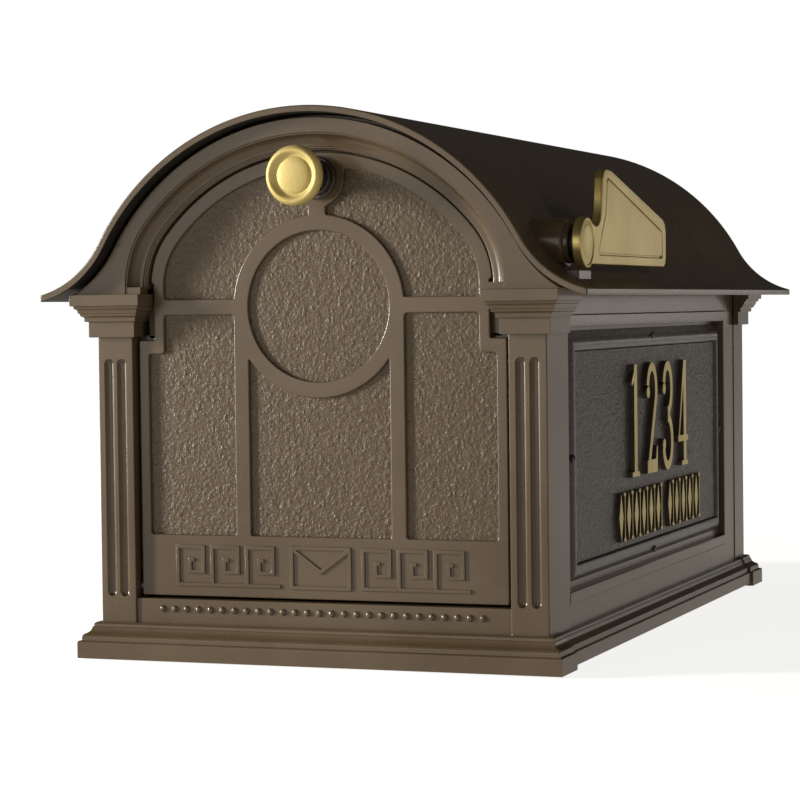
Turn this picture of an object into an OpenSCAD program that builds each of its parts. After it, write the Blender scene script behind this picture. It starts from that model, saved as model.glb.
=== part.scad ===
// Large post-mounted mailbox: cast front and rear frames, side panels with address
// plaques, a bell-curved roof, a bottom-hinged arched door and a rotating flag.
// Millimetres. X is across, +Y runs from the door to the rear, +Z is up.
// Origin: centre of the post bolt pattern, on the plane that the base stands on.
// Inside a casting, u is the depth measured inwards from that casting's own base face.

/* [Overall] */
// Length of the body from the front base face to the rear base face
body_l = 508.5; // [424:0.5:611]
// Width across the outer faces of the pilasters
front_w = 276; // [230:0.5:332]
// Height of the roof's outer surface at the eaves
eave_h = 213.5; // [178:0.1:257]
// Wall thickness of the castings
wall = 4; // [3:0.1:5]

/* [Roof] */
// Thickness of the roof
roof_t = 4; // [3:0.1:5]
// Roof overhang past the front base face
front_overhang = 5.3; // [2:0.1:15]
// Roof overhang past the rear base face
rear_overhang = 19.3; // [5:0.1:30]
// How far the eaves stand out past the pilasters
eave_out = 28.5; // [24:0.5:34]
// Outer radius of the roof crown beyond half the front width
crown_out = 9; // [7:0.5:11]
// Depth of the crown's centre below the eaves
crown_drop = 42; // [35:0.5:50]
// Radius of the concave flare above the eaves
flare_r = 60; // [50:1:72]

/* [End castings] */
// Width of a pilaster
pilaster_w = 22.5; // [19:0.5:27]
// Depth of the pilaster's front face behind the base face
pilaster_u = 12; // [11:0.5:13]
// Depth of the front casting's side wall
front_return = 52.7; // [46:0.1:62]
// Depth of the rear casting's side wall
rear_return = 40.5; // [36:0.1:48]
// Depth of the base moulding's return along the side
base_return = 30; // [28:0.5:34]
// Height of the base moulding
base_h = 20.8; // [20.8:0.1:24]
// Height of the sill strip's top edge
sill_h = 36.2; // [35:0.1:40]
// Depth of the spandrel's face behind the base face
spandrel_u = 1.7; // [1:0.1:3]
// Width of the flat band between the roof line and the arch
band_w = 14.5; // [13:0.5:17]
// Height of the arch spring above the eaves line
spring_up = 4; // [3:0.5:6]
// Width of the cove moulding round the arch
cove_w = 9.8; // [8:0.1:11]
// Depth of the cove's inner edge behind the base face
cove_u = 14.5; // [13:0.1:15]
// Width of one flute
flute_w = 5.8; // [4:0.1:6.5]
// Depth of one flute
flute_d = 2; // [1:0.1:2.5]

/* [Door] */
// Depth of the door's raised face behind the base face
door_u = 16.5; // [16.2:0.1:17]
// Thickness of the door
door_t = 5; // [4:0.1:5.2]
// Depth of the sunk panels in the door
panel_sink = 2; // [1:0.1:2.5]
// Gap between the door's edge and the casting
door_gap = 1.1; // [0.8:0.1:2]
// Height of the lower edge of the sunk panels
panel_bottom = 72.7; // [60:0.1:85]
// Centre radius of the ring
ring_r = 48; // [40:0.5:52]
// Width of the ring and of the upright bars
bar_w = 9.2; // [6:0.1:12]
// Height of the knob's axis above the crown's centre
knob_rise = 107; // [104:0.5:108]
// Diameter of the knob's dished face
knob_d = 34; // [28:0.5:38]
// Projection of the knob from the door's face
knob_out = 35.8; // [30:0.1:36]
// Radius of the hinge pins
pin_r = 2.5; // [2:0.1:3]
// Radial running clearance on pins and shafts
run_clear = 0.05; // [0.02:0.01:0.1]

/* [Side panels and plaques] */
// Height of the sunk field's lower edge
sunk_bottom = 40.7; // [38:0.1:50]
// Distance of the sunk field's top edge below the eaves
sunk_drop = 21.8; // [20:0.1:30]
// Width of the plain stile at the rear of the panel
rear_stile = 33; // [25:0.5:40]
// Depth of the sunk field
sunk_d = 6; // [4:0.1:7]
// Thickness of the plaque at its rim
plaque_t = 5; // [4:0.1:6]
// Width of the plaque's bevelled rim
plaque_rim = 10; // [6:0.5:14]
// Gap round the plaque
plaque_gap = 2.3; // [1:0.1:4]

/* [Flag] */
// Distance of the flag pivot behind the front base face
flag_u = 37; // [35:0.5:45]
// Height of the flag pivot above the eaves
flag_rise = 25.5; // [24.5:0.1:27]
// Radius of the flag's disc
flag_disc_r = 14.3; // [12:0.1:14.4]
// Thickness of the flag
flag_t = 5.5; // [4:0.1:7]
// Reach of the flag from its pivot to its far end
flag_reach = 173.5; // [120:0.5:190]
// Height of the flag's tall edge above its lower edge
flag_tall = 54.7; // [40:0.1:60]
// Height of the flag's far end
flag_short = 29; // [20:0.1:38]
// Radius of the flag's shaft
shaft_r = 4; // [3:0.1:5]

/* [Floor and mounting plate] */
// Height of the floor's top surface
floor_h = 33; // [32:0.1:34]
// Thickness of the floor
floor_t = 4; // [3:0.1:5]
// Width of the mounting plate's flat underside
mount_w = 140; // [130:1:170]
// Length of the mounting plate
mount_l = 220; // [200:1:260]
// Thickness of the mounting plate
mount_t = 3; // [2:0.1:4]
// Hole spacing of the post bolts across
bolt_x = 100; // [80:1:110]
// Hole spacing of the post bolts lengthways
bolt_y = 160; // [120:1:180]
// Radius of the post bolt holes
bolt_r = 4.25; // [3:0.05:5]

/* [Hidden] */
$fn = 96;
eps = 0.01;

// Colours
bronze = "#6b5a4b";
dark_bronze = "#3d322b";
gold = "#c9b56a";
zinc = "#a9abad";
black = "#222222";

// Fits and small clearances
seam = 0.3;            // gap between neighbouring castings
seat = 0.2;            // gap between flat faces of one assembly

// Frame derived from the driving sizes
half_w = front_w / 2;
inner_w = half_w - pilaster_w;
roof_half = half_w + eave_out;
crown_r = half_w + crown_out;
crown_z = eave_h - crown_drop;
roof_y0 = -body_l / 2 - front_overhang;
roof_y1 = body_l / 2 + rear_overhang;

// Centre of the concave flare: it touches the crown's circle and passes the eave's edge
tip_dist = sqrt(roof_half * roof_half + crown_drop * crown_drop);
tip_angle = atan2(crown_drop, roof_half);
flare_reach = crown_r + flare_r;
flare_angle = tip_angle + acos((flare_reach ^ 2 + tip_dist ^ 2 - flare_r ^ 2)
    / (2 * flare_reach * tip_dist));
flare_x = flare_reach * cos(flare_angle);
flare_z = crown_z + flare_reach * sin(flare_angle);

// Capital heights, measured down from the eaves line
capital_low = eave_h - 25.1;
capital_profile = [[3.5, -25.1], [3.5, -16.3], [4.8, -16.3], [5.0, -14.6], [6.0, -13.2],
    [6.6, -12.4], [6.6, -11.8], [7.2, -11.8], [7.4, -10.2], [8.4, -8.9], [9.0, -8.3],
    [9.0, -7.6], [9.6, -7.6], [10.2, -6.2], [11, -5.9], [11, 0]];
capital_front = 1.32;  // the capital stands out more to the front than to the sides
capital_u = 46;
base_front = 1.12;     // the same for the base moulding
base_profile = [[10.7, 0], [10.7, 9.6], [10, 10.3], [8.7, 10.3], [8.7, 12.4], [8.3, 13.4],
    [7.5, 14.1], [5.8, 14.9], [4.7, 16.2], [4.1, 18.2], [3.5, 18.2], [3.5, 19.9],
    [2, base_h]];

// Arch of the doorway: one crown arc and two haunch arcs, springing from the capitals
spring_z = eave_h + spring_up;
arch_half = inner_w + 0.6;
arch_r = crown_r - band_w;
arch_dz = spring_z - crown_z;
haunch_r = (arch_r ^ 2 - arch_half ^ 2 - arch_dz ^ 2) / (2 * (arch_r - arch_half));
haunch_x = arch_half - haunch_r;
haunch_a = atan2(arch_dz, haunch_x);

// Doorway
sill_u = 13.4;
door_half = inner_w - 2 * door_gap;
notch_half = inner_w - 11 - door_gap;
notch_z = capital_low - 2;
stop_u = door_u + door_t + 0.7;
stop_t = 3.8;
stop_in = 9;
stop_w = 12;
door_low = sill_h + 0.5;
hinge_u = door_u + 5.5;
hinge_z = sill_h + 5.8;
barrel_r = 4.5;
barrel_l = 16;
sweep_r = norm([hinge_u - door_u, hinge_z - door_low]);
ledge_h = hinge_z - sweep_r - seam;
ring_z = eave_h - 8.3;
crossbar_z = eave_h - 8;
field_side = 8.3;      // from the doorway's side to the sunk panels
field_arch = 18.4;     // the same above the notch
stem_half = 5.5;
knob_z = crown_z + knob_rise;
lug_r = 17;
rosette_r = 12.5;

// Side panels
panel_x = half_w - 0.5;
panel_in = panel_x - 10;
lap = 12;              // flanges that lap behind the castings' side walls
lap_screw = lap / 2;
fillet_w = 7;          // raised fillet round the sunk field
fillet_t = 0.8;
sunk_top = eave_h - sunk_drop;
panel_y0 = -body_l / 2 + front_return + seam;
panel_y1 = body_l / 2 - rear_return - seam;
sunk_y1 = panel_y1 - rear_stile;
panel_top = eave_h + 10;
plaque_y0 = panel_y0 + 4 * plaque_gap;
plaque_y1 = sunk_y1 - plaque_gap;
plaque_z0 = sunk_bottom + plaque_gap;
plaque_z1 = sunk_top - plaque_gap;
plaque_x0 = panel_x - sunk_d;
plaque_x1 = plaque_x0 + plaque_t;
plaque_sink = 1.8;

// Flag and its boss
flag_y = -body_l / 2 + flag_u;
flag_z = eave_h + flag_rise;
boss_x = half_w + 5.6;
neck_x = boss_x + 2.6;
flag_x0 = half_w + 11.5;
flag_x1 = flag_x0 + flag_t;
boss_r = 14.2;
ledge_x = half_w + 15;
inner_boss_x = half_w - 19;
flag_low = -12;
disc_gap = 0.5;        // between the flag's disc and the ledge below it

// Floor, mounting plate and fasteners
floor_half = panel_in - seam;
floor_y0 = -body_l / 2 + hinge_u + sweep_r + 2;
floor_y1 = body_l / 2 - stop_u - stop_t - 2;
floor_flange = 17;
mount_flange = 15;
mount_z = floor_h - floor_t - seat;
screw_r = 2;
screw_head_r = 3.8;
screw_head = 2.4;
small_screw_r = 1.2;
small_fit = 0.05;
latch_x = 40;
latch_z = knob_z - 16;
latch_w = 24;
latch_h = 15;
strike_screw_x = 6.5;
magnet_screw_x = latch_w / 2 - 3;
strike_t = 1.4;
roof_screw_a = 28;
roof_screw_u = 19;

// ---- shared shapes ----

// Area under the roof line, moved inwards by off
module roof_area(off) {
    intersection() {
        translate([-roof_half, capital_low])
            square([2 * roof_half, crown_r + crown_z - capital_low]);
        union() {
            translate([0, crown_z]) circle(crown_r - off, $fn = 180);
            difference() {
                polygon([[0, crown_z], [flare_x, flare_z], [flare_x, 0], [-flare_x, 0],
                    [-flare_x, flare_z]]);
                for (s = [-1, 1])
                    translate([s * flare_x, flare_z]) circle(flare_r + off, $fn = 128);
            }
        }
    }
}

// Points along an arc, both ends included
function arc_points(cx, cz, r, a0, a1, n) = [for (i = [0 : n])
    let (a = a0 + (a1 - a0) * i / n) [cx + r * cos(a), cz + r * sin(a)]];

// Area of the doorway arch above height low, moved inwards by off
module arch_area(off, low) {
    step = (180 - 2 * haunch_a) / 32;
    polygon(concat([[arch_half - off, low]],
        arc_points(haunch_x, spring_z, haunch_r - off, 0, haunch_a, 10),
        arc_points(0, crown_z, arch_r - off, haunch_a + step, 180 - haunch_a - step, 30),
        arc_points(-haunch_x, spring_z, haunch_r - off, 180 - haunch_a, 180, 10),
        [[off - arch_half, low]]));
}

// Stands an X-Z drawing up between the depths u0 and u1
module upright(u0, u1) {
    translate([0, u1, 0]) rotate([90, 0, 0]) linear_extrude(u1 - u0) children();
}

// Ring that follows the arch, from off inwards to off outwards by thick, above the spring
module arch_ring(off, thick) {
    difference() {
        arch_area(off - thick, spring_z - 0.5);
        arch_area(off, spring_z - 1);
    }
}

// Moulding that wraps three sides of a block from x0 to x1, with its front face at u0
module wrapped_moulding(x0, x1, u0, u1, z0, profile, front_scale) {
    top = z0 + profile[len(profile) - 1][1];
    bottom = z0 + profile[0][1];
    intersection() {
        translate([x0 - 20, 0, 0]) rotate([90, 0, 90]) linear_extrude(x1 - x0 + 40)
            polygon(concat([for (p = profile) [u0 - front_scale * p[0], z0 + p[1]]],
                [[u1, top], [u1, bottom]]));
        upright(u0 - 20, u1 + 1)
            polygon(concat([for (p = profile) [x1 + p[0], z0 + p[1]]],
                [for (i = [len(profile) - 1 : -1 : 0]) [x0 - profile[i][0], z0 + profile[i][1]]]));
    }
}

flute_pitch = 8.2;

// Round-ended groove cutter on the pilaster's face
module flute(x, z0, z1) {
    upright(pilaster_u - 1, pilaster_u + flute_d) {
        translate([x - flute_w / 2, z0 + flute_w / 2]) square([flute_w, z1 - z0 - flute_w]);
        for (z = [z0 + flute_w / 2, z1 - flute_w / 2])
            translate([x, z]) circle(flute_w / 2);
    }
}

// Cylinder along X, Y or Z between two coordinates
module bar_x(r, x0, x1) { translate([x0, 0, 0]) rotate([0, 90, 0]) cylinder(r = r, h = x1 - x0); }
module bar_y(r, y0, y1) { translate([0, y1, 0]) rotate([90, 0, 0]) cylinder(r = r, h = y1 - y0); }

// Pan-head screw along +Z, with its head's seat at z = 0 and the shank above it
module screw(shank) {
    cylinder(r = screw_r, h = shank);
    difference() {
        translate([0, 0, -screw_head]) cylinder(r1 = screw_head_r - 0.8, r2 = screw_head_r,
            h = screw_head);
        translate([-screw_head_r, -0.4, -screw_head - eps])
            cube([2 * screw_head_r, 0.8, 0.9]);
    }
}

module front_side() { translate([0, -body_l / 2, 0]) children(); }
module rear_side() { mirror([0, 1, 0]) front_side() children(); }
module both_sides() {
    children();
    mirror([1, 0, 0]) children();
}

// ---- end castings ----

// Steps of the cove from its outer edge inwards: [distance inwards, from depth, to depth]
cove_steps = [[0.08, 0, 0.13], [0.26, 0.13, 0.26], [0.45, 0.26, 0.45], [0.63, 0.45, 0.69],
    [0.77, 0.69, 0.87]];

module cove() {
    rise = cove_u - spandrel_u;
    for (s = cove_steps)
        upright(spandrel_u + rise * s[1], spandrel_u + rise * s[2]) arch_ring(cove_w * s[0], wall);
    upright(spandrel_u + rise * 0.87, stop_u) arch_ring(cove_w, wall);
    upright(stop_u, stop_u + stop_t) arch_ring(cove_w + stop_in, stop_in + wall);
}

// Heights of the side panel's screws, and places of the rear cover's screws
function panel_screw_heights() = [for (k = [0 : 2]) base_h + 22 + k * (capital_low - base_h - 44) / 2];
function rear_cover_points() = concat(
    [for (s = [-1, 1], z = [65, 115, 165]) [s * (inner_w - 7), z * eave_h / 213.5]],
    [for (a = [60, 90, 120]) [(arch_r - cove_w - 5.5) * cos(a),
        crown_z + (arch_r - cove_w - 5.5) * sin(a)]]);

module casting(side_return) {
    difference() {
        union() {
            // Base moulding: a front rail and a return under each pilaster
            difference() {
                wrapped_moulding(-half_w, half_w, pilaster_u, base_return, 0, base_profile, base_front);
                translate([-inner_w, stop_u, -1]) cube([2 * inner_w, base_return, base_h + 2]);
            }
            // Sill strip, with a lower ledge behind it that clears the swinging door
            translate([-inner_w - 1, sill_u, base_h - 1])
                cube([2 * inner_w + 2, door_u - seam - sill_u, sill_h - base_h + 1]);
            translate([-inner_w - 1, sill_u, base_h - 1])
                cube([2 * inner_w + 2, stop_u - sill_u, ledge_h - base_h + 1]);
            both_sides() {
                // Pilaster and side wall
                translate([inner_w, pilaster_u, base_h - 1])
                    cube([pilaster_w, side_return - pilaster_u, eave_h - base_h - 2]);
                difference() {
                    wrapped_moulding(inner_w, half_w, pilaster_u, capital_u, eave_h,
                        capital_profile, capital_front);
                    translate([inner_w - 20, stop_u + stop_t, 0]) cube([20, 40, eave_h + 1]);
                    translate([0, side_return, 0]) cube([roof_half, 40, eave_h + 1]);
                }
                // Door stops beside the doorway
                translate([inner_w - stop_w, stop_u, hinge_z + 10])
                    cube([stop_w + 1, stop_t, capital_low - hinge_z - 9]);
                translate([notch_half - stop_w / 2, stop_u, capital_low - 1])
                    cube([stop_w, stop_t, spring_z - capital_low + 1]);
                // Block from the capital to the foot of the arch
                translate([arch_half - cove_w, spandrel_u + 3, eave_h - 1])
                    cube([cove_w + 4, stop_u + stop_t - spandrel_u - 3, spring_up + 1]);
            }
            // Spandrel face, the two rims that carry the roof, and the cove
            upright(spandrel_u, spandrel_u + wall)
                difference() {
                    roof_area(2 * roof_t);
                    arch_area(-2, 0);
                    translate([-roof_half, 0]) square([2 * roof_half, eave_h - eps]);
                }
            upright(spandrel_u, stop_u + stop_t)
                difference() {
                    roof_area(2 * roof_t);
                    roof_area(2 * roof_t + wall - 0.5);
                    translate([-roof_half, 0]) square([2 * roof_half, eave_h - eps]);
                }
            upright(spandrel_u + 7, stop_u + stop_t)
                difference() {
                    roof_area(roof_t + seam);
                    roof_area(2 * roof_t + 1);
                    translate([-roof_half, 0]) square([2 * roof_half, eave_h - eps]);
                    for (s = [-1, 1])
                        translate([s * (half_w + 10 + 20) - 20, 0]) square([40, 2 * eave_h]);
                }
            cove();
        }
        both_sides() {
            // Hollow of the pilaster, open to the rear and into the body
            translate([inner_w + wall, pilaster_u + 7, -1])
                cube([pilaster_w - 2 * wall, side_return, eave_h - 3]);
            translate([inner_w - 30, stop_u + stop_t, -1])
                cube([30 + pilaster_w - wall, side_return, eave_h - 3]);
            for (s = [-1, 1])
                flute(half_w - pilaster_w / 2 + s * flute_pitch / 2, sill_h - 0.4, capital_low - 12.7);
            // Hinge pin bore
            translate([0, hinge_u, hinge_z]) bar_x(pin_r, inner_w - 1, inner_w + wall + 1);
            // Side panel screw holes, blind in the outer wall
            for (z = panel_screw_heights())
                translate([0, side_return - lap_screw, z]) bar_x(screw_r, half_w - wall - 1, half_w - 1);
        }
        // Roof screw holes through the rims
        for (a = [90 - roof_screw_a, 90 + roof_screw_a])
            translate([0, roof_screw_u, crown_z]) rotate([0, 90 - a, 0])
                cylinder(r = screw_r, h = crown_r);
    }
}

// Tab on the front casting that carries the door magnet
module latch_tab() {
    upright(stop_u + stop_t - eps, stop_u + stop_t + 3.5)
        intersection() {
            translate([latch_x - latch_w / 2 - 2, latch_z - latch_h / 2 - 2])
                square([latch_w + 4, 60]);
            arch_area(cove_w - 2, latch_z - 30);
        }
}

module front_frame() {
    color(bronze) front_side() {
        difference() {
            union() {
                casting(front_return);
                latch_tab();
            }
            for (s = [-1, 1])
                translate([latch_x + s * magnet_screw_x, 0, latch_z])
                    bar_y(small_screw_r, stop_u, stop_u + stop_t + 2.5);
        }
    }
}

module rear_frame() {
    color(bronze) rear_side() difference() {
        casting(rear_return);
        for (p = rear_cover_points())
            translate([p[0], 0, p[1]]) bar_y(screw_r, stop_u - 1, stop_u + stop_t + 1);
    }
}

// ---- rear cover ----

module rear_panel() {
    low = ledge_h + seat;
    color(bronze) rear_side() difference() {
        union() {
            upright(door_u, stop_u - seat) rear_outline(0, low);
            upright(door_u - 1, door_u + eps) difference() {
                rear_outline(11, low + 11);
                rear_outline(18, low + 18);
            }
        }
        for (p = rear_cover_points())
            translate([p[0], 0, p[1]]) bar_y(screw_r, door_u - 5, stop_u + 1);
    }
}

module rear_outline(inset, low) {
    intersection() {
        arch_area(cove_w + door_gap + inset, low);
        translate([-notch_half + inset, low]) square([2 * (notch_half - inset), 2 * eave_h]);
    }
    translate([-door_half + inset, low]) square([2 * (door_half - inset), notch_z - inset - low]);
}

// ---- side panels, plaques ----

module side_panel() {
    length = panel_y1 - panel_y0;
    difference() {
        union() {
            translate([panel_in, panel_y0, base_h - seat - 2])
                cube([10, length, panel_top - base_h + seat + 2]);
            // Lap flanges behind the walls of the castings
            translate([half_w - wall - seat - 4, panel_y0 - lap, base_h + 4])
                cube([4, length + 2 * lap, capital_low - base_h - 6]);
            // Base moulding
            translate([0, base_return - body_l / 2 + seam, 0]) rotate([90, 0, 180]) mirror([1, 0, 0])
                linear_extrude(body_l - 2 * base_return - 2 * seam)
                    polygon(concat([[panel_x - 4, 2]],
                        [for (p = base_profile)
                            [panel_x + 0.9 * p[0], max(2, min(p[1], base_h - 1) - seat)]],
                        [[panel_x - 4, base_h - 1 - seat]]));
            // Raised fillet round the sunk field
            translate([panel_x - 1, panel_y0, sunk_bottom - fillet_w])
                cube([1 + fillet_t, sunk_y1 - panel_y0 + fillet_w, sunk_top - sunk_bottom + 2 * fillet_w]);
        }
        // Sunk field
        translate([panel_x - sunk_d, panel_y0 - 1, sunk_bottom])
            cube([sunk_d + 2, sunk_y1 - panel_y0 + 1, sunk_top - sunk_bottom]);
        // Relief behind the rails and the rear stile
        translate([panel_in - 1, panel_y0 - 1, sunk_top + 4])
            cube([7, length + 2, panel_top]);
        translate([panel_in - 1, panel_y0 - 1, -1])
            cube([7, length + 2, base_h + 9]);
        translate([panel_in - 1, sunk_y1 + 4, -1])
            cube([7, rear_stile - 8, panel_top]);
        // Screw holes in the lap flanges, the floor line and the plaque's fixings
        for (z = panel_screw_heights(), y = [panel_y0 - lap_screw - seam, panel_y1 + lap_screw + seam])
            translate([0, y, z]) bar_x(screw_r, panel_in, half_w - wall);
        for (p = plaque_screw_points())
            translate([0, p[0], p[1]]) bar_x(small_screw_r, panel_in + 1, plaque_x0 + 1);
        for (y = floor_screw_spots())
            translate([0, y, floor_screw_z]) bar_x(screw_r, panel_in - 1, panel_x - sunk_d - 1);
    }
    // Pads that take the floor's screws
    for (y = floor_screw_spots())
        translate([panel_in, y - 9, floor_screw_z - 6]) difference() {
            cube([7, 18, 14]);
            translate([0, 9, 6]) bar_x(screw_r, -1, 5);
        }
}

floor_screw_z = floor_h - floor_t - 9;
function floor_screw_spots() = [for (k = [-1 : 1]) (panel_y0 + panel_y1) / 2
    + k * (panel_y1 - panel_y0) * 0.4];
function plaque_screw_points() = [
    [plaque_y0 + plaque_rim / 2, (plaque_z0 + plaque_z1) / 2],
    [plaque_y1 - plaque_rim / 2, (plaque_z0 + plaque_z1) / 2],
    [(plaque_y0 + plaque_y1) / 2, plaque_z1 - plaque_rim / 2],
    [(plaque_y0 + plaque_y1) / 2, plaque_z0 + plaque_rim / 2]];

module right_side_panel() { color(bronze) side_panel(); }
module left_side_panel() { color(bronze) mirror([1, 0, 0]) side_panel(); }

// Plate with a sunk field; its rim is bevelled on the four outer edges
module plaque() {
    py = plaque_y1 - plaque_y0;
    pz = plaque_z1 - plaque_z0;
    bevel = 2.5;
    difference() {
        intersection() {
            translate([0, plaque_y0, 0]) mirror([0, 1, 0]) rotate([90, 0, 0]) linear_extrude(py)
                polygon([[plaque_x0 + seat, plaque_z0], [plaque_x0 + 2, plaque_z0],
                    [plaque_x1, plaque_z0 + bevel], [plaque_x1, plaque_z1 - bevel],
                    [plaque_x0 + 2, plaque_z1], [plaque_x0 + seat, plaque_z1]]);
            translate([0, 0, plaque_z0]) linear_extrude(pz)
                polygon([[plaque_x0 + seat, plaque_y0], [plaque_x0 + 2, plaque_y0],
                    [plaque_x1, plaque_y0 + bevel], [plaque_x1, plaque_y1 - bevel],
                    [plaque_x0 + 2, plaque_y1], [plaque_x0 + seat, plaque_y1]]);
        }
        translate([plaque_x1 - plaque_sink, plaque_y0 + plaque_rim, plaque_z0 + plaque_rim])
            cube([plaque_sink + 1, py - 2 * plaque_rim, pz - 2 * plaque_rim]);
        for (p = plaque_screw_points())
            translate([0, p[0], p[1]]) bar_x(small_screw_r, plaque_x0 - 1, plaque_x1 + 1);
    }
}

module right_plaque() { color(dark_bronze) plaque(); }
module left_plaque() { color(dark_bronze) mirror([1, 0, 0]) plaque(); }

module plaque_screws() {
    color(dark_bronze) both_sides() for (p = plaque_screw_points())
        translate([0, p[0], p[1]]) {
            bar_x(small_screw_r, panel_in + 1.5, plaque_x1 + eps);
            translate([plaque_x1, 0, 0]) rotate([0, 90, 0]) cylinder(r1 = 3, r2 = 1.8, h = 0.9);
        }
}

// ---- roof ----

module roof() {
    color(bronze) difference() {
        union() {
            translate([0, roof_y1, 0]) rotate([90, 0, 0]) linear_extrude(roof_y1 - roof_y0)
                difference() {
                    roof_area(0);
                    roof_area(roof_t);
                }
            // Flag boss with its neck, the web under it and the ledge below the flag's disc
            difference() {
                union() {
                    translate([0, flag_y, flag_z]) {
                        bar_x(boss_r, half_w - 22, boss_x);
                        bar_x(boss_r - 2.7, boss_x - 1, neck_x);
                    }
                    translate([half_w - 22, flag_y - 10, flag_z - 30])
                        cube([boss_x - half_w + 22 - 1, 20, 30]);
                    translate([half_w - 10, flag_y - 12, flag_z - 30])
                        cube([ledge_x - half_w + 10, 25, 30 - flag_disc_r - disc_gap]);
                }
                translate([0, flag_y + 30, 0]) rotate([90, 0, 0]) linear_extrude(60)
                    roof_area(roof_t / 2);
                translate([half_w - 30, flag_y - 30, capital_low - 30])
                    cube([60, 60, 30 + eave_h - capital_low - 1]);
            }
            // Inner boss that the spring washer bears on
            translate([0, flag_y, flag_z]) intersection() {
                bar_x(9, inner_boss_x, half_w);
                translate([0, 30, -flag_z]) rotate([90, 0, 0]) linear_extrude(60)
                    roof_area(roof_t / 2);
            }
        }
        translate([0, flag_y, flag_z]) bar_x(shaft_r + run_clear, inner_boss_x - 1, neck_x + 1);
        roof_screw_places() cylinder(r = screw_r, h = crown_r - 1.2);
    }
}

module roof_screw_places() {
    for (y = [roof_screw_u - body_l / 2, body_l / 2 - roof_screw_u])
        for (a = [-roof_screw_a, roof_screw_a])
            translate([0, y, crown_z]) rotate([0, a, 0]) children();
}

module roof_screws() {
    seat_r = crown_r - 2 * roof_t - wall + 0.5 - 0.4;
    color(zinc) roof_screw_places() translate([0, 0, seat_r]) screw(crown_r - 1.4 - seat_r);
}

// ---- door ----

module door_outline() {
    intersection() {
        arch_area(cove_w + door_gap, door_low);
        union() {
            translate([-notch_half, door_low]) square([2 * notch_half, spring_z + 2 - door_low]);
            translate([-arch_half, spring_z + 1.5]) square([2 * arch_half, 2 * arch_half]);
        }
    }
    translate([-door_half, door_low]) square([2 * door_half, notch_z - door_low]);
}

// All the sunk panels together, before the raised bars are taken out of them
module panel_field() {
    field_top = notch_z - field_side;
    arch_area(arch_half - inner_w + field_arch, field_top - 0.5);
    translate([-inner_w + field_side, panel_bottom])
        square([2 * (inner_w - field_side), field_top - panel_bottom]);
}

module raised_bars() {
    translate([0, ring_z]) circle(ring_r + bar_w / 2);
    for (s = [-1, 1])
        translate([s * ring_r - bar_w / 2, panel_bottom - 1]) square([bar_w, ring_z - panel_bottom]);
    for (s = [-1, 1])
        translate([s > 0 ? ring_r : -arch_half, crossbar_z - bar_w / 2])
            square([arch_half - ring_r, bar_w]);
    translate([-stem_half, ring_z + ring_r]) square([2 * stem_half, knob_z - ring_z - ring_r]);
    translate([0, knob_z]) circle(lug_r);
    translate([-lug_r, knob_z]) square([2 * lug_r, 2 * lug_r]);
}

module door() {
    color(bronze) front_side() difference() {
        union() {
            upright(door_u, door_u + door_t) door_outline();
            both_sides() translate([0, hinge_u, hinge_z]) bar_x(barrel_r, door_half - barrel_l, door_half);
        }
        upright(door_u - 1, door_u + panel_sink) {
            difference() {
                panel_field();
                raised_bars();
            }
            translate([0, ring_z]) circle(ring_r - bar_w / 2);
        }
        both_sides() translate([0, hinge_u, hinge_z])
            bar_x(pin_r + run_clear, door_half - barrel_l + 2, door_half + 1);
        translate([0, 0, knob_z]) bar_y(screw_r, door_u - 1, door_u + door_t + 1);
        for (s = [-1, 1])
            translate([latch_x + s * strike_screw_x, 0, latch_z])
                bar_y(small_screw_r, door_u + panel_sink + 1.5, door_u + door_t + 1);
    }
}

module left_hinge_pin() { color(zinc) mirror([1, 0, 0]) hinge_pin(); }
module right_hinge_pin() { color(zinc) hinge_pin(); }
module hinge_pin() {
    front_side() translate([0, hinge_u, hinge_z]) {
        bar_x(pin_r, door_half - barrel_l + 3, inner_w + wall + eps);
        bar_x(pin_r + 0.4, inner_w + wall, inner_w + wall + 2);
    }
}

// Turned parts are drawn as [radius, distance out from the door's face]
module turned(points) {
    front_side() translate([0, door_u, knob_z]) rotate([90, 0, 0])
        rotate_extrude() polygon(points);
}

module knob_rosette() {
    color(dark_bronze) turned([[screw_r + 0.2, 0], [rosette_r, 0], [rosette_r, 2.2], [rosette_r - 1.2, 3],
        [rosette_r - 2.4, 3], [rosette_r - 2.8, 5], [rosette_r - 4.4, 5.6], [rosette_r - 4.8, 9],
        [rosette_r - 6, 9.6], [rosette_r - 6, 13], [screw_r + 0.2, 13]]);
}

module door_knob() {
    rk = knob_d / 2;
    out = knob_out;
    color(gold) turned([[0, 23], [screw_r, 23], [screw_r, 13.2], [6.2, 13.2], [6.2, 21], [8, 24.5],
        [rk - 2.5, out - 8.2], [rk - 0.6, out - 6.4], [rk, out - 4.2], [rk - 0.4, out - 2],
        [rk - 1.8, out - 0.4], [rk - 3.2, out], [rk - 4.6, out - 0.6], [rk - 5.6, out - 2],
        [rk - 7, out - 2.4], [rk - 9.5, out - 1.6], [rk - 12.5, out - 0.9], [0, out - 0.6]]);
}

module knob_screw() {
    color(zinc) front_side() translate([0, door_u + door_t, knob_z]) rotate([90, 0, 0])
        screw(door_t + 21.5);
}

// ---- door magnet ----

module latch_block(inset, u0, u1) {
    translate([latch_x - latch_w / 2 + inset, u0, latch_z - latch_h / 2 + inset])
        cube([latch_w - 2 * inset, u1 - u0, latch_h - 2 * inset]);
}

magnet_u = door_u + door_t + strike_t + 0.3;
magnet_half = [5.2, 4];

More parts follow.
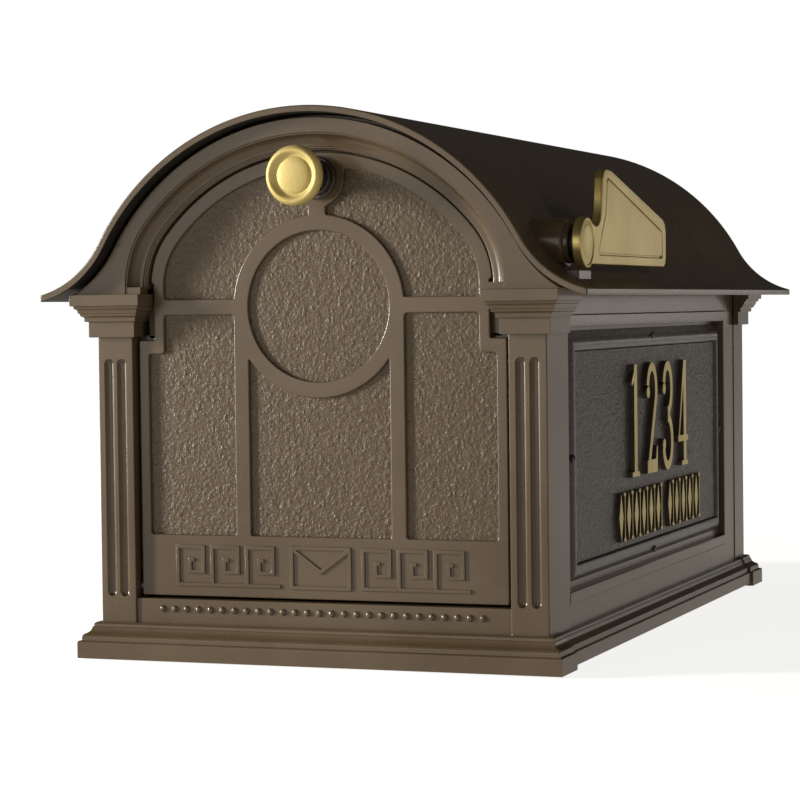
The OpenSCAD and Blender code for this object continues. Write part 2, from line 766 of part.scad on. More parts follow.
module magnet_housing() {
    color(black) front_side() difference() {
        latch_block(0, magnet_u, stop_u + stop_t - seat);
        translate([latch_x - magnet_half[0] - 0.1, magnet_u - 1, latch_z - magnet_half[1] - 0.1])
            cube([2 * magnet_half[0] + 0.2, 3, 2 * magnet_half[1] + 0.2]);
        for (s = [-1, 1])
            translate([latch_x + s * magnet_screw_x, 0, latch_z])
                bar_y(small_screw_r, magnet_u - 1, stop_u + stop_t + 1);
    }
}

module latch_magnet() {
    color("#555555") front_side()
        translate([latch_x - magnet_half[0], magnet_u, latch_z - magnet_half[1]])
            cube([2 * magnet_half[0], 1.9, 2 * magnet_half[1]]);
}

module magnet_screws() {
    color(zinc) front_side() for (s = [-1, 1])
        translate([latch_x + s * magnet_screw_x, 0, latch_z])
            bar_y(small_screw_r - small_fit, magnet_u, stop_u + stop_t + 2.3);
}

module strike_plate() {
    color(zinc) front_side() difference() {
        latch_block(1, door_u + door_t, door_u + door_t + strike_t);
        for (s = [-1, 1])
            translate([latch_x + s * strike_screw_x, 0, latch_z]) bar_y(small_screw_r, door_u, stop_u + 5);
    }
}

module strike_screws() {
    color(zinc) front_side() for (s = [-1, 1])
        translate([latch_x + s * strike_screw_x, 0, latch_z])
            bar_y(small_screw_r - small_fit, door_u + panel_sink + 1.7, door_u + door_t + strike_t);
}

// ---- flag ----

module flag_blank() {
    tall = flag_low + flag_tall;
    short = flag_low + flag_short;
    circle(flag_disc_r);
    // Round-cornered plate: straight edges joined by corner discs
    r = 6;
    polygon([[20, flag_low], [flag_reach - r, flag_low], [flag_reach, flag_low + r],
        [flag_reach, short - r], [flag_reach - 5, short - 1], [48, tall], [36, tall], [31, tall - 5],
        [29, tall - 26], [24, tall - 33], [12.5, 7], [0, 0], [0, flag_low - 0.5]]);
    translate([flag_reach - r, flag_low + r]) circle(r);
    translate([flag_reach - r, short - r]) circle(r);
    translate([37, tall - 6]) circle(6);
}

module flag() {
    color(gold) difference() {
        translate([flag_x0, flag_y, flag_z]) rotate([90, 0, 90]) linear_extrude(flag_t)
            flag_blank();
        translate([0, flag_y, flag_z]) bar_x(shaft_r, flag_x0 - 1, flag_x0 + 3);
        // Shallow dish in the disc
        translate([flag_x1 - 0.8, flag_y, flag_z]) rotate([0, 90, 0])
            cylinder(r1 = flag_disc_r - 4, r2 = flag_disc_r - 2, h = 1);
    }
}

module flag_shaft() {
    color(zinc) translate([0, flag_y, flag_z]) bar_x(shaft_r, inner_boss_x - 9, flag_x0 + 3);
}

module flag_spacer() {
    color(black) translate([0, flag_y, flag_z]) difference() {
        bar_x(8, neck_x + 0.1, flag_x0 - eps);
        bar_x(shaft_r, neck_x - 1, flag_x0 + 1);
    }
}

module spring_washer() {
    color(zinc) translate([0, flag_y, flag_z]) difference() {
        bar_x(7.5, inner_boss_x - 1.8, inner_boss_x - 0.1);
        bar_x(shaft_r, inner_boss_x - 3, inner_boss_x + 1);
    }
}

module flag_nut() {
    color(zinc) translate([inner_boss_x - 7, flag_y, flag_z]) rotate([0, 90, 0]) difference() {
        cylinder(r = 7.5, h = 5.2, $fn = 6);
        translate([0, 0, -1]) cylinder(r = shaft_r, h = 8);
    }
}

// ---- floor and mounting plate ----

module floor_plate() {
    color(bronze) difference() {
        union() {
            translate([-floor_half, floor_y0, floor_h - floor_t])
                cube([2 * floor_half, floor_y1 - floor_y0, floor_t]);
            both_sides() translate([floor_half - 3, floor_y0, floor_h - floor_t - floor_flange])
                cube([3, floor_y1 - floor_y0, floor_flange + 1]);
            for (x = [-0.6, -0.2, 0.2, 0.6])
                translate([x * floor_half - 2, floor_y0 + 20, floor_h])
                    cube([4, floor_y1 - floor_y0 - 40, 1.2]);
        }
        both_sides() for (y = floor_screw_spots())
            translate([0, y, floor_screw_z]) bar_x(screw_r, floor_half - 5, floor_half + 1);
        for (p = mounting_screw_points())
            translate([p[0], p[1], mount_z - 1]) cylinder(r = screw_r, h = floor_t);
    }
}

function mounting_screw_points() = [for (sx = [-1, 1], sy = [-1, 1])
    [sx * (mount_w / 2 + mount_flange / 2 - 1), sy * (mount_l / 2 - 20)]];

module mounting_plate() {
    color(zinc) difference() {
        translate([0, mount_l / 2, 0]) rotate([90, 0, 0]) linear_extrude(mount_l)
            difference() {
                union() {
                    translate([-mount_w / 2, 0]) square([mount_w, mount_z]);
                    translate([-mount_w / 2 - mount_flange, mount_z - mount_t])
                        square([mount_w + 2 * mount_flange, mount_t]);
                }
                translate([-mount_w / 2 + mount_t, mount_t])
                    square([mount_w - 2 * mount_t, mount_z]);
            }
        for (sx = [-1, 1], sy = [-1, 1])
            translate([sx * bolt_x / 2, sy * bolt_y / 2, -1]) cylinder(r = bolt_r, h = mount_t + 2);
        for (p = mounting_screw_points())
            translate([p[0], p[1], mount_z - mount_t - 1]) cylinder(r = screw_r, h = mount_t + 2);
    }
}

// ---- fasteners ----

module mounting_screws() {
    color(zinc) for (p = mounting_screw_points())
        translate([p[0], p[1], mount_z - mount_t]) screw(mount_t + floor_t - 1.2);
}

module floor_screws() {
    color(zinc) both_sides() for (y = floor_screw_spots())
        translate([floor_half - 3, y, floor_screw_z]) rotate([0, 90, 0]) screw(7.5);
}

module side_screws(y) {
    both_sides() for (z = panel_screw_heights())
        translate([half_w - wall - seat - 4, y, z]) rotate([0, 90, 0]) screw(wall + seat + 2.9);
}

module front_panel_screws() { color(zinc) side_screws(panel_y0 - lap_screw - seam); }
module rear_panel_screws() { color(zinc) side_screws(panel_y1 + lap_screw + seam); }

module rear_cover_screws() {
    color(zinc) rear_side() for (p = rear_cover_points())
        translate([p[0], door_u, p[1]]) rotate([-90, 0, 0])
            screw(stop_u + stop_t - door_u - 0.5);
}

front_frame();
rear_frame();
rear_panel();
left_side_panel();
right_side_panel();
floor_plate();
mounting_plate();
roof();
left_plaque();
right_plaque();
plaque_screws();
door();
door_knob();
knob_rosette();
knob_screw();
left_hinge_pin();
right_hinge_pin();
strike_plate();
strike_screws();
magnet_housing();
latch_magnet();
magnet_screws();
flag();
flag_shaft();
flag_spacer();
spring_washer();
flag_nut();
roof_screws();
front_panel_screws();
rear_panel_screws();
rear_cover_screws();
floor_screws();
mounting_screws();
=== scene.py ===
# %% [markdown]
# # A post-mounted mailbox
# The real mailbox is a set of painted aluminium castings: two end frames, two side panels with address
# plaques, a bell-curved roof, an arched door, a gold knob and a gold flag. The design model fixes every
# size and joint, so this script only reads that frame and builds the finer visible surfaces over it.

# %% Load the frame
import math

import bmesh
import bpy
from mathutils import Matrix, Vector, noise


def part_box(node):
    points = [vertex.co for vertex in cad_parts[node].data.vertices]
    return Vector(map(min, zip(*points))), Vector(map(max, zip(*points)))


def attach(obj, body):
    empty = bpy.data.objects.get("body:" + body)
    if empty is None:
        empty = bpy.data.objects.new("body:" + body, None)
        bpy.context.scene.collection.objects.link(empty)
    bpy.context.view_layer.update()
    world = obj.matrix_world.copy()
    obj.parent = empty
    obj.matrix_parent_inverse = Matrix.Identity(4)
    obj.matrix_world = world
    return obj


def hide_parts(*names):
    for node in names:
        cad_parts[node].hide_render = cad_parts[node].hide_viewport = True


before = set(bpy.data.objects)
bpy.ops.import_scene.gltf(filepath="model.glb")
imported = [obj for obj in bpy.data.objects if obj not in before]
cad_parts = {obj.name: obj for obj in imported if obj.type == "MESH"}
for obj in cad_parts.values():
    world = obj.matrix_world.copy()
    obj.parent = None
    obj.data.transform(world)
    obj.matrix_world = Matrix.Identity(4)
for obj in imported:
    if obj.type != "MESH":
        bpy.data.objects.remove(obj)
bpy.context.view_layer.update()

# %% [markdown]
# ## Sizes
# Every piece is drawn in millimetres and scaled once, when its mesh is made. The main sizes come from the
# boxes of the frame's own nodes; the small ones, such as the steps of a moulding, belong to the pattern.

# %% Main sizes
MM = 0.001


def box(node):
    """Lowest and highest corner of a frame node, in millimetres."""
    low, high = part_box(node)
    return low / MM, high / MM


panel_low, panel_high = box("right_side_panel")
plaque_low, plaque_high = box("right_plaque")
roof_low, roof_high = box("roof")
door_low, door_high = box("door")
cover_low, cover_high = box("rear_panel")

half_w = plaque_high.x + 1.5                 # to the pilaster's outer face
pilaster_u = 12.0                            # depths, u, run inwards from a casting's base face
inner_w = half_w - 22.5
door_u = 16.5
front_y = door_low.y - door_u
rear_y = cover_high.y + 15.5
wall = 4.0
roof_t = 4.0
roof_half = roof_high.x
eave_z = panel_high.z - 10                   # height of the roof's outer surface at the eaves
crown_z = eave_z - 42
crown_r = half_w + 9
flare_r = 60.0
base_h = 20.8
sill_h = 36.2
sill_u = 13.4                                # depth of the sill strip's face
capital_low = eave_z - 25.1
print(f"half width {half_w:.1f}, eaves {eave_z:.1f}, front {front_y:.1f}, rear {rear_y:.1f}")

# %% [markdown]
# ## Drawing outlines
# A casting has no truly sharp corner: the sand mould and the paint round them all. So outlines are drawn
# with a radius at each corner, and the small radii are what catch the light along every edge.

# %% Outline helpers
def arc(cx, cy, r, start, end, steps):
    """Points on an arc between two angles in degrees, both ends included."""
    angles = [math.radians(start + (end - start) * i / steps) for i in range(steps + 1)]
    return [(cx + r * math.cos(a), cy + r * math.sin(a)) for a in angles]


def rounded(points, radius, steps=3, turn=20):
    """Rounds the corners of a closed outline that turn by more than a few degrees."""
    out = []
    for i, here in enumerate(points):
        here = Vector(here)
        back = Vector(points[i - 1]) - here
        ahead = Vector(points[(i + 1) % len(points)]) - here
        if min(back.length, ahead.length) < 1e-6:
            continue
        if math.degrees(back.angle(-ahead)) < turn:
            out.append(tuple(here))
            continue
        reach = min(radius, 0.45 * back.length, 0.45 * ahead.length)
        a = here + back.normalized() * reach
        b = here + ahead.normalized() * reach
        for k in range(steps + 1):
            t = k / steps
            out.append(tuple(a * (1 - t) ** 2 + here * 2 * t * (1 - t) + b * t ** 2))
    return out


def area(points):
    """Signed area of an outline: positive when it runs anticlockwise."""
    turns = zip(points, points[1:] + points[:1])
    return sum(a[0] * b[1] - b[0] * a[1] for a, b in turns) / 2


def inset(points, distance):
    """Moves a closed outline inwards along its corners' bisectors."""
    side = 1 if area(points) > 0 else -1
    out = []
    for i, here in enumerate(points):
        here = Vector(here)
        a = (here - Vector(points[i - 1])).normalized()
        b = (Vector(points[(i + 1) % len(points)]) - here).normalized()
        normal = Vector((-a.y - b.y, a.x + b.x)) * side
        normal.normalize()
        stretch = 1 / max(0.5, normal.dot(Vector((-a.y, a.x)) * side))
        out.append(tuple(here + normal * distance * stretch))
    return out


def ribbon(points, width):
    """Outline of a band of even width along an open line of points."""
    left, right = [], []
    for i, here in enumerate(points):
        here = Vector(here)
        before = Vector(points[max(i - 1, 0)])
        after = Vector(points[min(i + 1, len(points) - 1)])
        a = (here - before if i else after - here).normalized()
        b = (after - here if i < len(points) - 1 else a).normalized()
        normal = Vector((-a.y - b.y, a.x + b.x)).normalized()
        reach = width / 2 / max(0.4, normal.dot(Vector((-a.y, a.x))))
        left.append(tuple(here + normal * reach))
        right.append(tuple(here - normal * reach))
    return left + right[::-1]


print("unit square rounded:", len(rounded([(0, 0), (1, 0), (1, 1), (0, 1)], 0.2)), "points")

# %% [markdown]
# ## Making meshes
# Three builders cover nearly everything on a casting. A loft skins a row of equal rings, which suits
# mouldings, the roof and the fluted pilasters. A plate is an outline with holes and eased edges, which
# suits the door and the flag. A turning spins a profile, which suits the knob.

# %% Mesh builders
def loft(rings, closed=False):
    """Skins rings of equal length into a closed solid, with a cap at each end unless it is a loop."""
    bm = bmesh.new()
    rows = [[bm.verts.new(p) for p in ring] for ring in rings]
    pairs = list(zip(rows, rows[1:])) + ([(rows[-1], rows[0])] if closed else [])
    for a, b in pairs:
        for i in range(len(a)):
            j = (i + 1) % len(a)
            bm.faces.new((a[i], a[j], b[j], b[i]))
    if not closed:
        bm.faces.new(rows[0])
        bm.faces.new(rows[-1])
    return bm


def plate(outlines, back, front, edge, put):
    """A flat solid between two depths: the first outline less the others, with its front edges eased."""
    bm = bmesh.new()
    toward = 1 if front > back else -1
    ease = [(0, 0), (0.12, 0.5), (0.4, 0.85), (1, 1)]
    front_edges, back_edges = [], []
    for number, outline in enumerate(outlines):
        grow = 1 if number == 0 else -1
        rows = [[bm.verts.new(put(a, b, back)) for a, b in outline]]
        for share, rise in ease:
            depth = front - toward * edge * (1 - rise)
            ring = inset(outline, grow * edge * share) if share else outline
            rows.append([bm.verts.new(put(a, b, depth)) for a, b in ring])
        for low, high in zip(rows, rows[1:]):
            for i in range(len(low)):
                j = (i + 1) % len(low)
                bm.faces.new((low[i], low[j], high[j], high[i]))
        for row, edges in ((rows[0], back_edges), (rows[-1], front_edges)):
            edges += [bm.edges.get((row[i - 1], row[i])) for i in range(len(row))]
    for edges in (back_edges, front_edges):
        bmesh.ops.triangle_fill(bm, edges=edges, use_beauty=True)
    return bm


def turned(profile, steps, put):
    """Spins a profile of (radius, distance) points round an axis; a zero radius closes the solid."""
    rings = []
    for k in range(steps):
        a = 2 * math.pi * k / steps
        rings.append([put(r * math.cos(a), r * math.sin(a), d) for r, d in profile])
    return loft(rings, closed=True)


def block(low, high, edge=0.4):
    """A box with eased upright edges and top, for ledges, stops and flanges."""
    outline = rounded([(low[0], low[1]), (high[0], low[1]), (high[0], high[1]), (low[0], high[1])], edge, 2)
    return plate([outline], low[2], high[2], edge, lambda a, b, d: (a, b, d))


# %% From a mesh to a finished piece
def as_object(name, bm, place=Matrix.Identity(4)):
    """Welds a mesh drawn in millimetres, turns its faces outwards and links it in metres."""
    bmesh.ops.transform(bm, matrix=Matrix.Scale(MM, 4) @ place, verts=bm.verts)
    bmesh.ops.remove_doubles(bm, verts=bm.verts, dist=2e-6)
    bmesh.ops.dissolve_degenerate(bm, edges=bm.edges, dist=1e-6)
    bmesh.ops.recalc_face_normals(bm, faces=bm.faces)
    mesh = bpy.data.meshes.new(name)
    bm.to_mesh(mesh)
    bm.free()
    made = bpy.data.objects.new(name, mesh)
    bpy.context.scene.collection.objects.link(made)
    return made


def applied(obj):
    """Turns an object with modifiers into a plain mesh and clears the modifiers."""
    bpy.context.view_layer.update()
    graph = bpy.context.evaluated_depsgraph_get()
    mesh = bpy.data.meshes.new_from_object(obj.evaluated_get(graph))
    obj.modifiers.clear()
    obj.data = mesh
    return obj


def eased(obj, width, segments=2, angle=50):
    """Bevels the edges of a solid that are sharper than an angle."""
    bevel = obj.modifiers.new("eased edges", "BEVEL")
    bevel.width = width * MM
    bevel.segments = segments
    bevel.limit_method = "ANGLE"
    bevel.angle_limit = math.radians(angle)
    return applied(obj)


def combined(obj, others, operation="UNION"):
    """Joins solids into one skin, or cuts them away."""
    for other in others:
        step = obj.modifiers.new("combine", "BOOLEAN")
        step.operation = operation
        step.solver = "EXACT"
        step.object = other
    applied(obj)
    for other in others:
        bpy.data.objects.remove(other)
    return obj


def piece(name, parts, body, finishes, replaces=()):
    """Gathers parts into one object, shades it and ties it to its body. A part is an object or
    (object, index of its finish)."""
    bm = bmesh.new()
    for part in parts:
        obj, finish = part if isinstance(part, tuple) else (part, 0)
        for face in obj.data.polygons:
            face.material_index = finish
        bm.from_mesh(obj.data)
        bpy.data.objects.remove(obj)
    for face in bm.faces:
        face.smooth = True
    for edge in bm.edges:
        edge.smooth = len(edge.link_faces) == 2 and edge.calc_face_angle(0) < math.radians(38)
    mesh = bpy.data.meshes.new(name)
    bm.to_mesh(mesh)
    bm.free()
    made = bpy.data.objects.new(name, mesh)
    bpy.context.scene.collection.objects.link(made)
    for finish in finishes:
        mesh.materials.append(finish)
    weighted = made.modifiers.new("flat faces stay flat", "WEIGHTED_NORMAL")
    weighted.keep_sharp = True
    applied(made)
    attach(made, body)
    if replaces:
        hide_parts(*replaces)
    triangles = sum(len(p.vertices) - 2 for p in made.data.polygons)
    print(f"{name}: {triangles} triangles on {body}")
    return made


# %% [markdown]
# ## Writing shaders as sums
# Finishes are worked out from noise and simple maths. A small class wraps a node's output so that an
# ordinary Python expression adds the Math nodes, which keeps each finish readable.

# %% Node helpers
class Value:
    """One output of a node. Arithmetic on it adds Math nodes to its tree."""

    def __init__(self, nodes, socket):
        self.nodes, self.socket = nodes, socket

    def math(self, operation, *terms):
        return self.nodes.add("ShaderNodeMath", {"operation": operation}, dict(enumerate(terms)))

    def __add__(self, other):
        return self.math("ADD", self, other)

    def __radd__(self, other):
        return self.math("ADD", other, self)

    def __sub__(self, other):
        return self.math("SUBTRACT", self, other)

    def __rsub__(self, other):
        return self.math("SUBTRACT", other, self)

    def __mul__(self, other):
        return self.math("MULTIPLY", self, other)

    def __rmul__(self, other):
        return self.math("MULTIPLY", other, self)

    def __truediv__(self, other):
        return self.math("DIVIDE", self, other)

    def __pow__(self, other):
        return self.math("POWER", self, other)

    def __abs__(self):
        return self.math("ABSOLUTE", self)


class Nodes:
    """A node tree with one way to add a node: its type, its settings, then its inputs."""

    def __init__(self, tree):
        self.tree = tree

    def add(self, kind, settings=None, inputs=None, output=0):
        node = self.tree.nodes.new(kind)
        for key, value in (settings or {}).items():
            setattr(node, key, value)
        for key, value in (inputs or {}).items():
            if isinstance(value, Value):
                self.tree.links.new(value.socket, node.inputs[key])
            else:
                node.inputs[key].default_value = value
        return Value(self, node.outputs[output]) if len(node.outputs) else node

    def noise(self, where, scale, detail=2.0, distortion=0.0):
        return self.add("ShaderNodeTexNoise", None, {"Vector": where, "Scale": scale, "Detail": detail,
                                                     "Distortion": distortion})

    def mix(self, share, first, second):
        return self.add("ShaderNodeMix", {"data_type": "RGBA"}, {0: share, 6: first, 7: second}, output=2)

    def smooth(self, value, low, high):
        settings = {"interpolation_type": "SMOOTHSTEP"}
        return self.add("ShaderNodeMapRange", settings, {0: value, 1: low, 2: high, 3: 0.0, 4: 1.0})


def colour(red, green, blue):
    return (red, green, blue, 1.0)


def finish(name, build):
    """Makes a material. build(nodes, where) returns the shader's inputs and a height with its strength."""
    made = bpy.data.materials.new(name)
    made.use_nodes = True
    made.node_tree.nodes.clear()
    nodes = Nodes(made.node_tree)
    where = nodes.add("ShaderNodeTexCoord", output=3)
    inputs, bumps = build(nodes, where)
    normal = None
    for height, distance, strength in bumps:
        sockets = {"Height": height, "Distance": distance, "Strength": strength}
        if normal is not None:
            sockets["Normal"] = normal
        normal = nodes.add("ShaderNodeBump", None, sockets)
    if normal is not None:
        inputs["Normal"] = normal
    shader = nodes.add("ShaderNodeBsdfPrincipled", None, inputs)
    nodes.add("ShaderNodeOutputMaterial", None, {"Surface": shader})
    plain = inputs["Base Color"]
    made.diffuse_color = plain if isinstance(plain, tuple) else (0.2, 0.17, 0.14, 1)
    return made

# %% [markdown]
# ## Finishes
# The castings wear a baked bronze paint: brown, satin, with the faint orange peel of a sprayed coat and a
# little unevenness in gloss. The roof's inward and downward faces are painted near black, a painted shade for
# the dark gap under its edge. The sunk door panels are the same paint over a hammered pattern, and the
# plaques are a darker, glossier brown over a pebbled ground that sparkles.

# %% Bronze paint
BRONZE_DARK = colour(0.082, 0.056, 0.031)
BRONZE_LIGHT = colour(0.108, 0.077, 0.045)


def bronze(nodes, where):
    clouds = nodes.noise(where, 14.0, 4.0)
    grain = nodes.noise(where, 900.0, 2.0)
    peel = nodes.noise(where, 420.0, 1.0)
    inputs = {
        "Base Color": nodes.mix(nodes.smooth(clouds * 0.7 + grain * 0.3, 0.35, 0.65),
                                BRONZE_DARK, BRONZE_LIGHT),
        "Roughness": 0.22 + 0.12 * clouds,
        "Specular IOR Level": 0.45,
        "Coat Weight": 0.08 + 0.08 * clouds,
        "Coat Roughness": 0.08,
    }
    return inputs, [(peel, 0.0005, 0.07), (grain, 0.0002, 0.05)]


bronze_paint = finish("bronze_paint", bronze)


# A near-black painted shade for the roof's inward and downward faces, standing in for the dark gap under its
# edge; its noise only varies tone and bump.
def painted_shade_coat(nodes, where):
    clouds = nodes.noise(where, 30.0, 4.0)
    inputs = {"Base Color": nodes.mix(clouds, colour(0.007, 0.005, 0.004), colour(0.015, 0.011, 0.008)),
              "Roughness": 0.5 + 0.2 * clouds}
    return inputs, [(clouds, 0.0004, 0.2)]


painted_shade_underside = finish("painted_shade_underside", painted_shade_coat)
print("finishes:", bronze_paint.name, painted_shade_underside.name)


# %% Hammered bronze paint of the door's panels
def hammered(nodes, where):
    bend = nodes.add("ShaderNodeTexNoise", None, {"Vector": where, "Scale": 140.0}, output=1)
    warped = nodes.add("ShaderNodeVectorMath", {"operation": "MULTIPLY_ADD"},
                       {0: bend, 1: (0.004, 0.004, 0.004), 2: where})
    creases = abs(nodes.noise(warped, 620.0, 1.0) - 0.5)
    clouds = nodes.noise(where, 14.0, 4.0)
    # lumps is both the bump's height and the colour's mask: the colour is darker in the creases, a painted
    # shade, mixed with a random cloudy tone.
    lumps = nodes.smooth(creases, 0.0, 0.16)
    inputs = {
        "Base Color": nodes.mix(nodes.smooth(lumps * 0.5 + clouds * 0.5, 0.2, 0.8),
                                BRONZE_DARK, BRONZE_LIGHT),
        "Roughness": 0.36 + 0.12 * clouds,
        "Specular IOR Level": 0.4,
        "Coat Weight": 0.05,
        "Coat Roughness": 0.2,
    }
    return inputs, [(lumps, 0.0005, 0.3), (nodes.noise(where, 1000.0, 2.0), 0.0002, 0.1)]


hammered_paint = finish("hammered_paint", hammered)
print("finish:", hammered_paint.name)

# %% Dark pebbled paint of the plaques
PLAQUE_DARK = colour(0.030, 0.021, 0.017)
PLAQUE_LIGHT = colour(0.066, 0.052, 0.045)


def pebbled(nodes, where):
    cells = nodes.add("ShaderNodeTexVoronoi", {"feature": "F1"}, {"Vector": where, "Scale": 700.0})
    clouds = nodes.noise(where, 30.0, 4.0)
    # pebbles is both the bump's height and the colour's mask: the colour is darker in the gaps between
    # grains, a painted shade, mixed with a random cloudy tone.
    pebbles = nodes.smooth(1.0 - cells, 0.2, 0.95)
    sand = nodes.noise(where, 1100.0, 2.0)
    inputs = {
        "Base Color": nodes.mix(nodes.smooth(pebbles * 0.5 + clouds * 0.5, 0.25, 0.75),
                                PLAQUE_DARK, PLAQUE_LIGHT),
        "Roughness": 0.2 + 0.2 * clouds,
        "Coat Weight": 0.1 + 0.1 * clouds,
        "Coat Roughness": 0.06,
    }
    return inputs, [(pebbles, 0.0007, 0.9), (sand, 0.0006, 1.0)]


pebbled_paint = finish("pebbled_paint", pebbled)


def glossy_dark(nodes, where):
    clouds = nodes.noise(where, 40.0, 4.0)
    peel = nodes.noise(where, 800.0, 3.0, 0.5)
    inputs = {
        "Base Color": nodes.mix(clouds, colour(0.020, 0.012, 0.010), PLAQUE_LIGHT),
        "Roughness": 0.14 + 0.2 * clouds,
        "Coat Weight": 0.15 + 0.15 * clouds,
        "Coat Roughness": 0.05,
    }
    return inputs, [(peel, 0.0007, 0.8)]


glossy_dark_paint = finish("glossy_dark_paint", glossy_dark)
print("finishes:", pebbled_paint.name, glossy_dark_paint.name)

# %% Gold paint
GOLD_DEEP = colour(0.47, 0.35, 0.10)
GOLD_PALE = colour(0.66, 0.55, 0.22)


def gold(metal, rough):
    """The same paint can lie thicker or thinner over the metal, and smoother or drier."""
    def paint(nodes, where):
        clouds = nodes.noise(where, 25.0, 4.0)
        flake = nodes.noise(where, 2200.0, 1.0)
        inputs = {
            "Base Color": nodes.mix(nodes.smooth(clouds * 0.6 + flake * 0.4, 0.35, 0.65),
                                    GOLD_DEEP, GOLD_PALE),
            "Metallic": metal + 0.2 * flake,
            "Roughness": rough + 0.12 * clouds,
            "Coat Weight": 0.06,
            "Coat Roughness": 0.12,
        }
        return inputs, [(flake, 0.00015, 0.05)]
    return paint


gold_paint = finish("gold_paint", gold(0.72, 0.33))
knob_paint = finish("knob_gold_paint", gold(0.25, 0.5))
flag_paint = finish("flag_gold_paint", gold(0.7, 0.3))


# %% Zinc, black plastic and magnet
def zinc(nodes, where):
    streaks = nodes.noise(where, 180.0, 5.0)
    patches = nodes.noise(where, 22.0, 3.0)
    inputs = {
        "Base Color": nodes.mix(patches, colour(0.42, 0.43, 0.44), colour(0.60, 0.60, 0.58)),
        "Metallic": 0.95,
        "Roughness": 0.28 + 0.25 * streaks,
    }
    return inputs, [(streaks, 0.0003, 0.12)]


def plastic(nodes, where):
    grain = nodes.noise(where, 1200.0, 2.0)
    inputs = {
        "Base Color": nodes.mix(grain, colour(0.012, 0.012, 0.012), colour(0.028, 0.027, 0.026)),
        "Roughness": 0.42 + 0.2 * grain,
    }
    return inputs, [(grain, 0.0003, 0.2)]


def ferrite(nodes, where):
    grain = nodes.noise(where, 700.0, 4.0)
    inputs = {
        "Base Color": nodes.mix(grain, colour(0.03, 0.03, 0.032), colour(0.09, 0.09, 0.09)),
        "Metallic": 0.3,
        "Roughness": 0.5 + 0.2 * grain,
    }
    return inputs, [(grain, 0.0004, 0.25)]


zinc_finish = finish("zinc_plate", zinc)
plastic_finish = finish("black_plastic_grain", plastic)
ferrite_finish = finish("ferrite", ferrite)
by_slot = {"cast_paint": bronze_paint, "plaque_paint": glossy_dark_paint, "gold_paint": gold_paint,
           "zinc_steel": zinc_finish, "black_plastic": plastic_finish, "magnet": ferrite_finish}
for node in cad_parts.values():
    for position, old in enumerate(node.data.materials):
        node.material_slots[position].material = by_slot[old.name]
print("finishes on", len(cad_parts), "frame nodes")

# %% [markdown]
# ## The roof line
# The roof is one bell curve carried straight back: a round crown that turns smoothly into a concave flare
# on each side. The end frames' rims and spandrels follow the same curve a few millimetres below it, so one
# function gives the curve at any depth under the surface.

# %% Roof line
tip_distance = math.hypot(roof_half, eave_z - crown_z)
flare_reach = crown_r + flare_r
cosine = (flare_reach ** 2 + tip_distance ** 2 - flare_r ** 2) / (2 * flare_reach * tip_distance)
flare_angle = math.degrees(math.atan2(eave_z - crown_z, roof_half) + math.acos(cosine))
flare_x = flare_reach * math.cos(math.radians(flare_angle))
flare_z = crown_z + flare_reach * math.sin(math.radians(flare_angle))


def flare_end(depth, at_height):
    """Angle where the flare stops: at the eaves line's height, or at the roof's side edge."""
    if at_height:
        return 180 + math.degrees(math.asin((flare_z - eave_z) / (flare_r + depth)))
    return 180 + math.degrees(math.acos((flare_x - roof_half) / (flare_r + depth)))


def half_roof_line(depth, start=90.0, at_height=False, crown_steps=40, flare_steps=20):
    """Points of the right half, from an angle on the crown down to the eaves."""
    crown = arc(0, crown_z, crown_r - depth, start, flare_angle, crown_steps)
    flare = arc(flare_x, flare_z, flare_r + depth, 180 + flare_angle, flare_end(depth, at_height),
                flare_steps)
    return crown + flare[1:]


def roof_line(depth, at_height=False):
    """The whole line, from the right eave over the crown to the left eave."""
    half = half_roof_line(depth, at_height=at_height)
    return half[::-1] + [(-x, z) for x, z in half[1:]]


print(f"flare meets the crown at {flare_angle:.1f} degrees, centre {flare_x:.1f}, {flare_z:.1f}")

# %% [markdown]
# ## The roof
# The sheet is lofted from front to rear with its edges eased, and the flag's boss is turned separately and
# joined to it with a Boolean union, as the foundry casts both in one pour.

# %% Roof casting
flag_low, flag_high = box("flag")
shaft_low, shaft_high = box("flag_shaft")
flag_y = (shaft_low.y + shaft_high.y) / 2
flag_z = (shaft_low.z + shaft_high.z) / 2
disc_r = flag_y - flag_low.y


def roof_section(y, shrink=0.0):
    outer = [(x * (1 - shrink / roof_half), z) for x, z in roof_line(shrink)]
    inner = [(x * (1 - shrink / roof_half), z) for x, z in roof_line(roof_t - shrink)]
    return [(x, y, z) for x, z in outer + inner[::-1]]


edge = 0.9
roof_rings = [roof_section(roof_low.y, edge), roof_section(roof_low.y + 0.12 * edge, 0.5 * edge),
              roof_section(roof_low.y + 0.45 * edge, 0.15 * edge)]
stations = 24
for k in range(stations + 1):
    roof_rings.append(roof_section(roof_low.y + edge + (roof_high.y - roof_low.y - 2 * edge) * k / stations))
roof_rings += [roof_section(roof_high.y - 0.45 * edge, 0.15 * edge),
               roof_section(roof_high.y - 0.12 * edge, 0.5 * edge), roof_section(roof_high.y, edge)]
roof_sheet = eased(as_object("roof_sheet", loft(roof_rings)), 0.8, 3, 60)


def across(a, b, depth):
    """Places turned parts on the flag's axis, which runs along X."""
    return (depth, flag_y + a, flag_z + b)


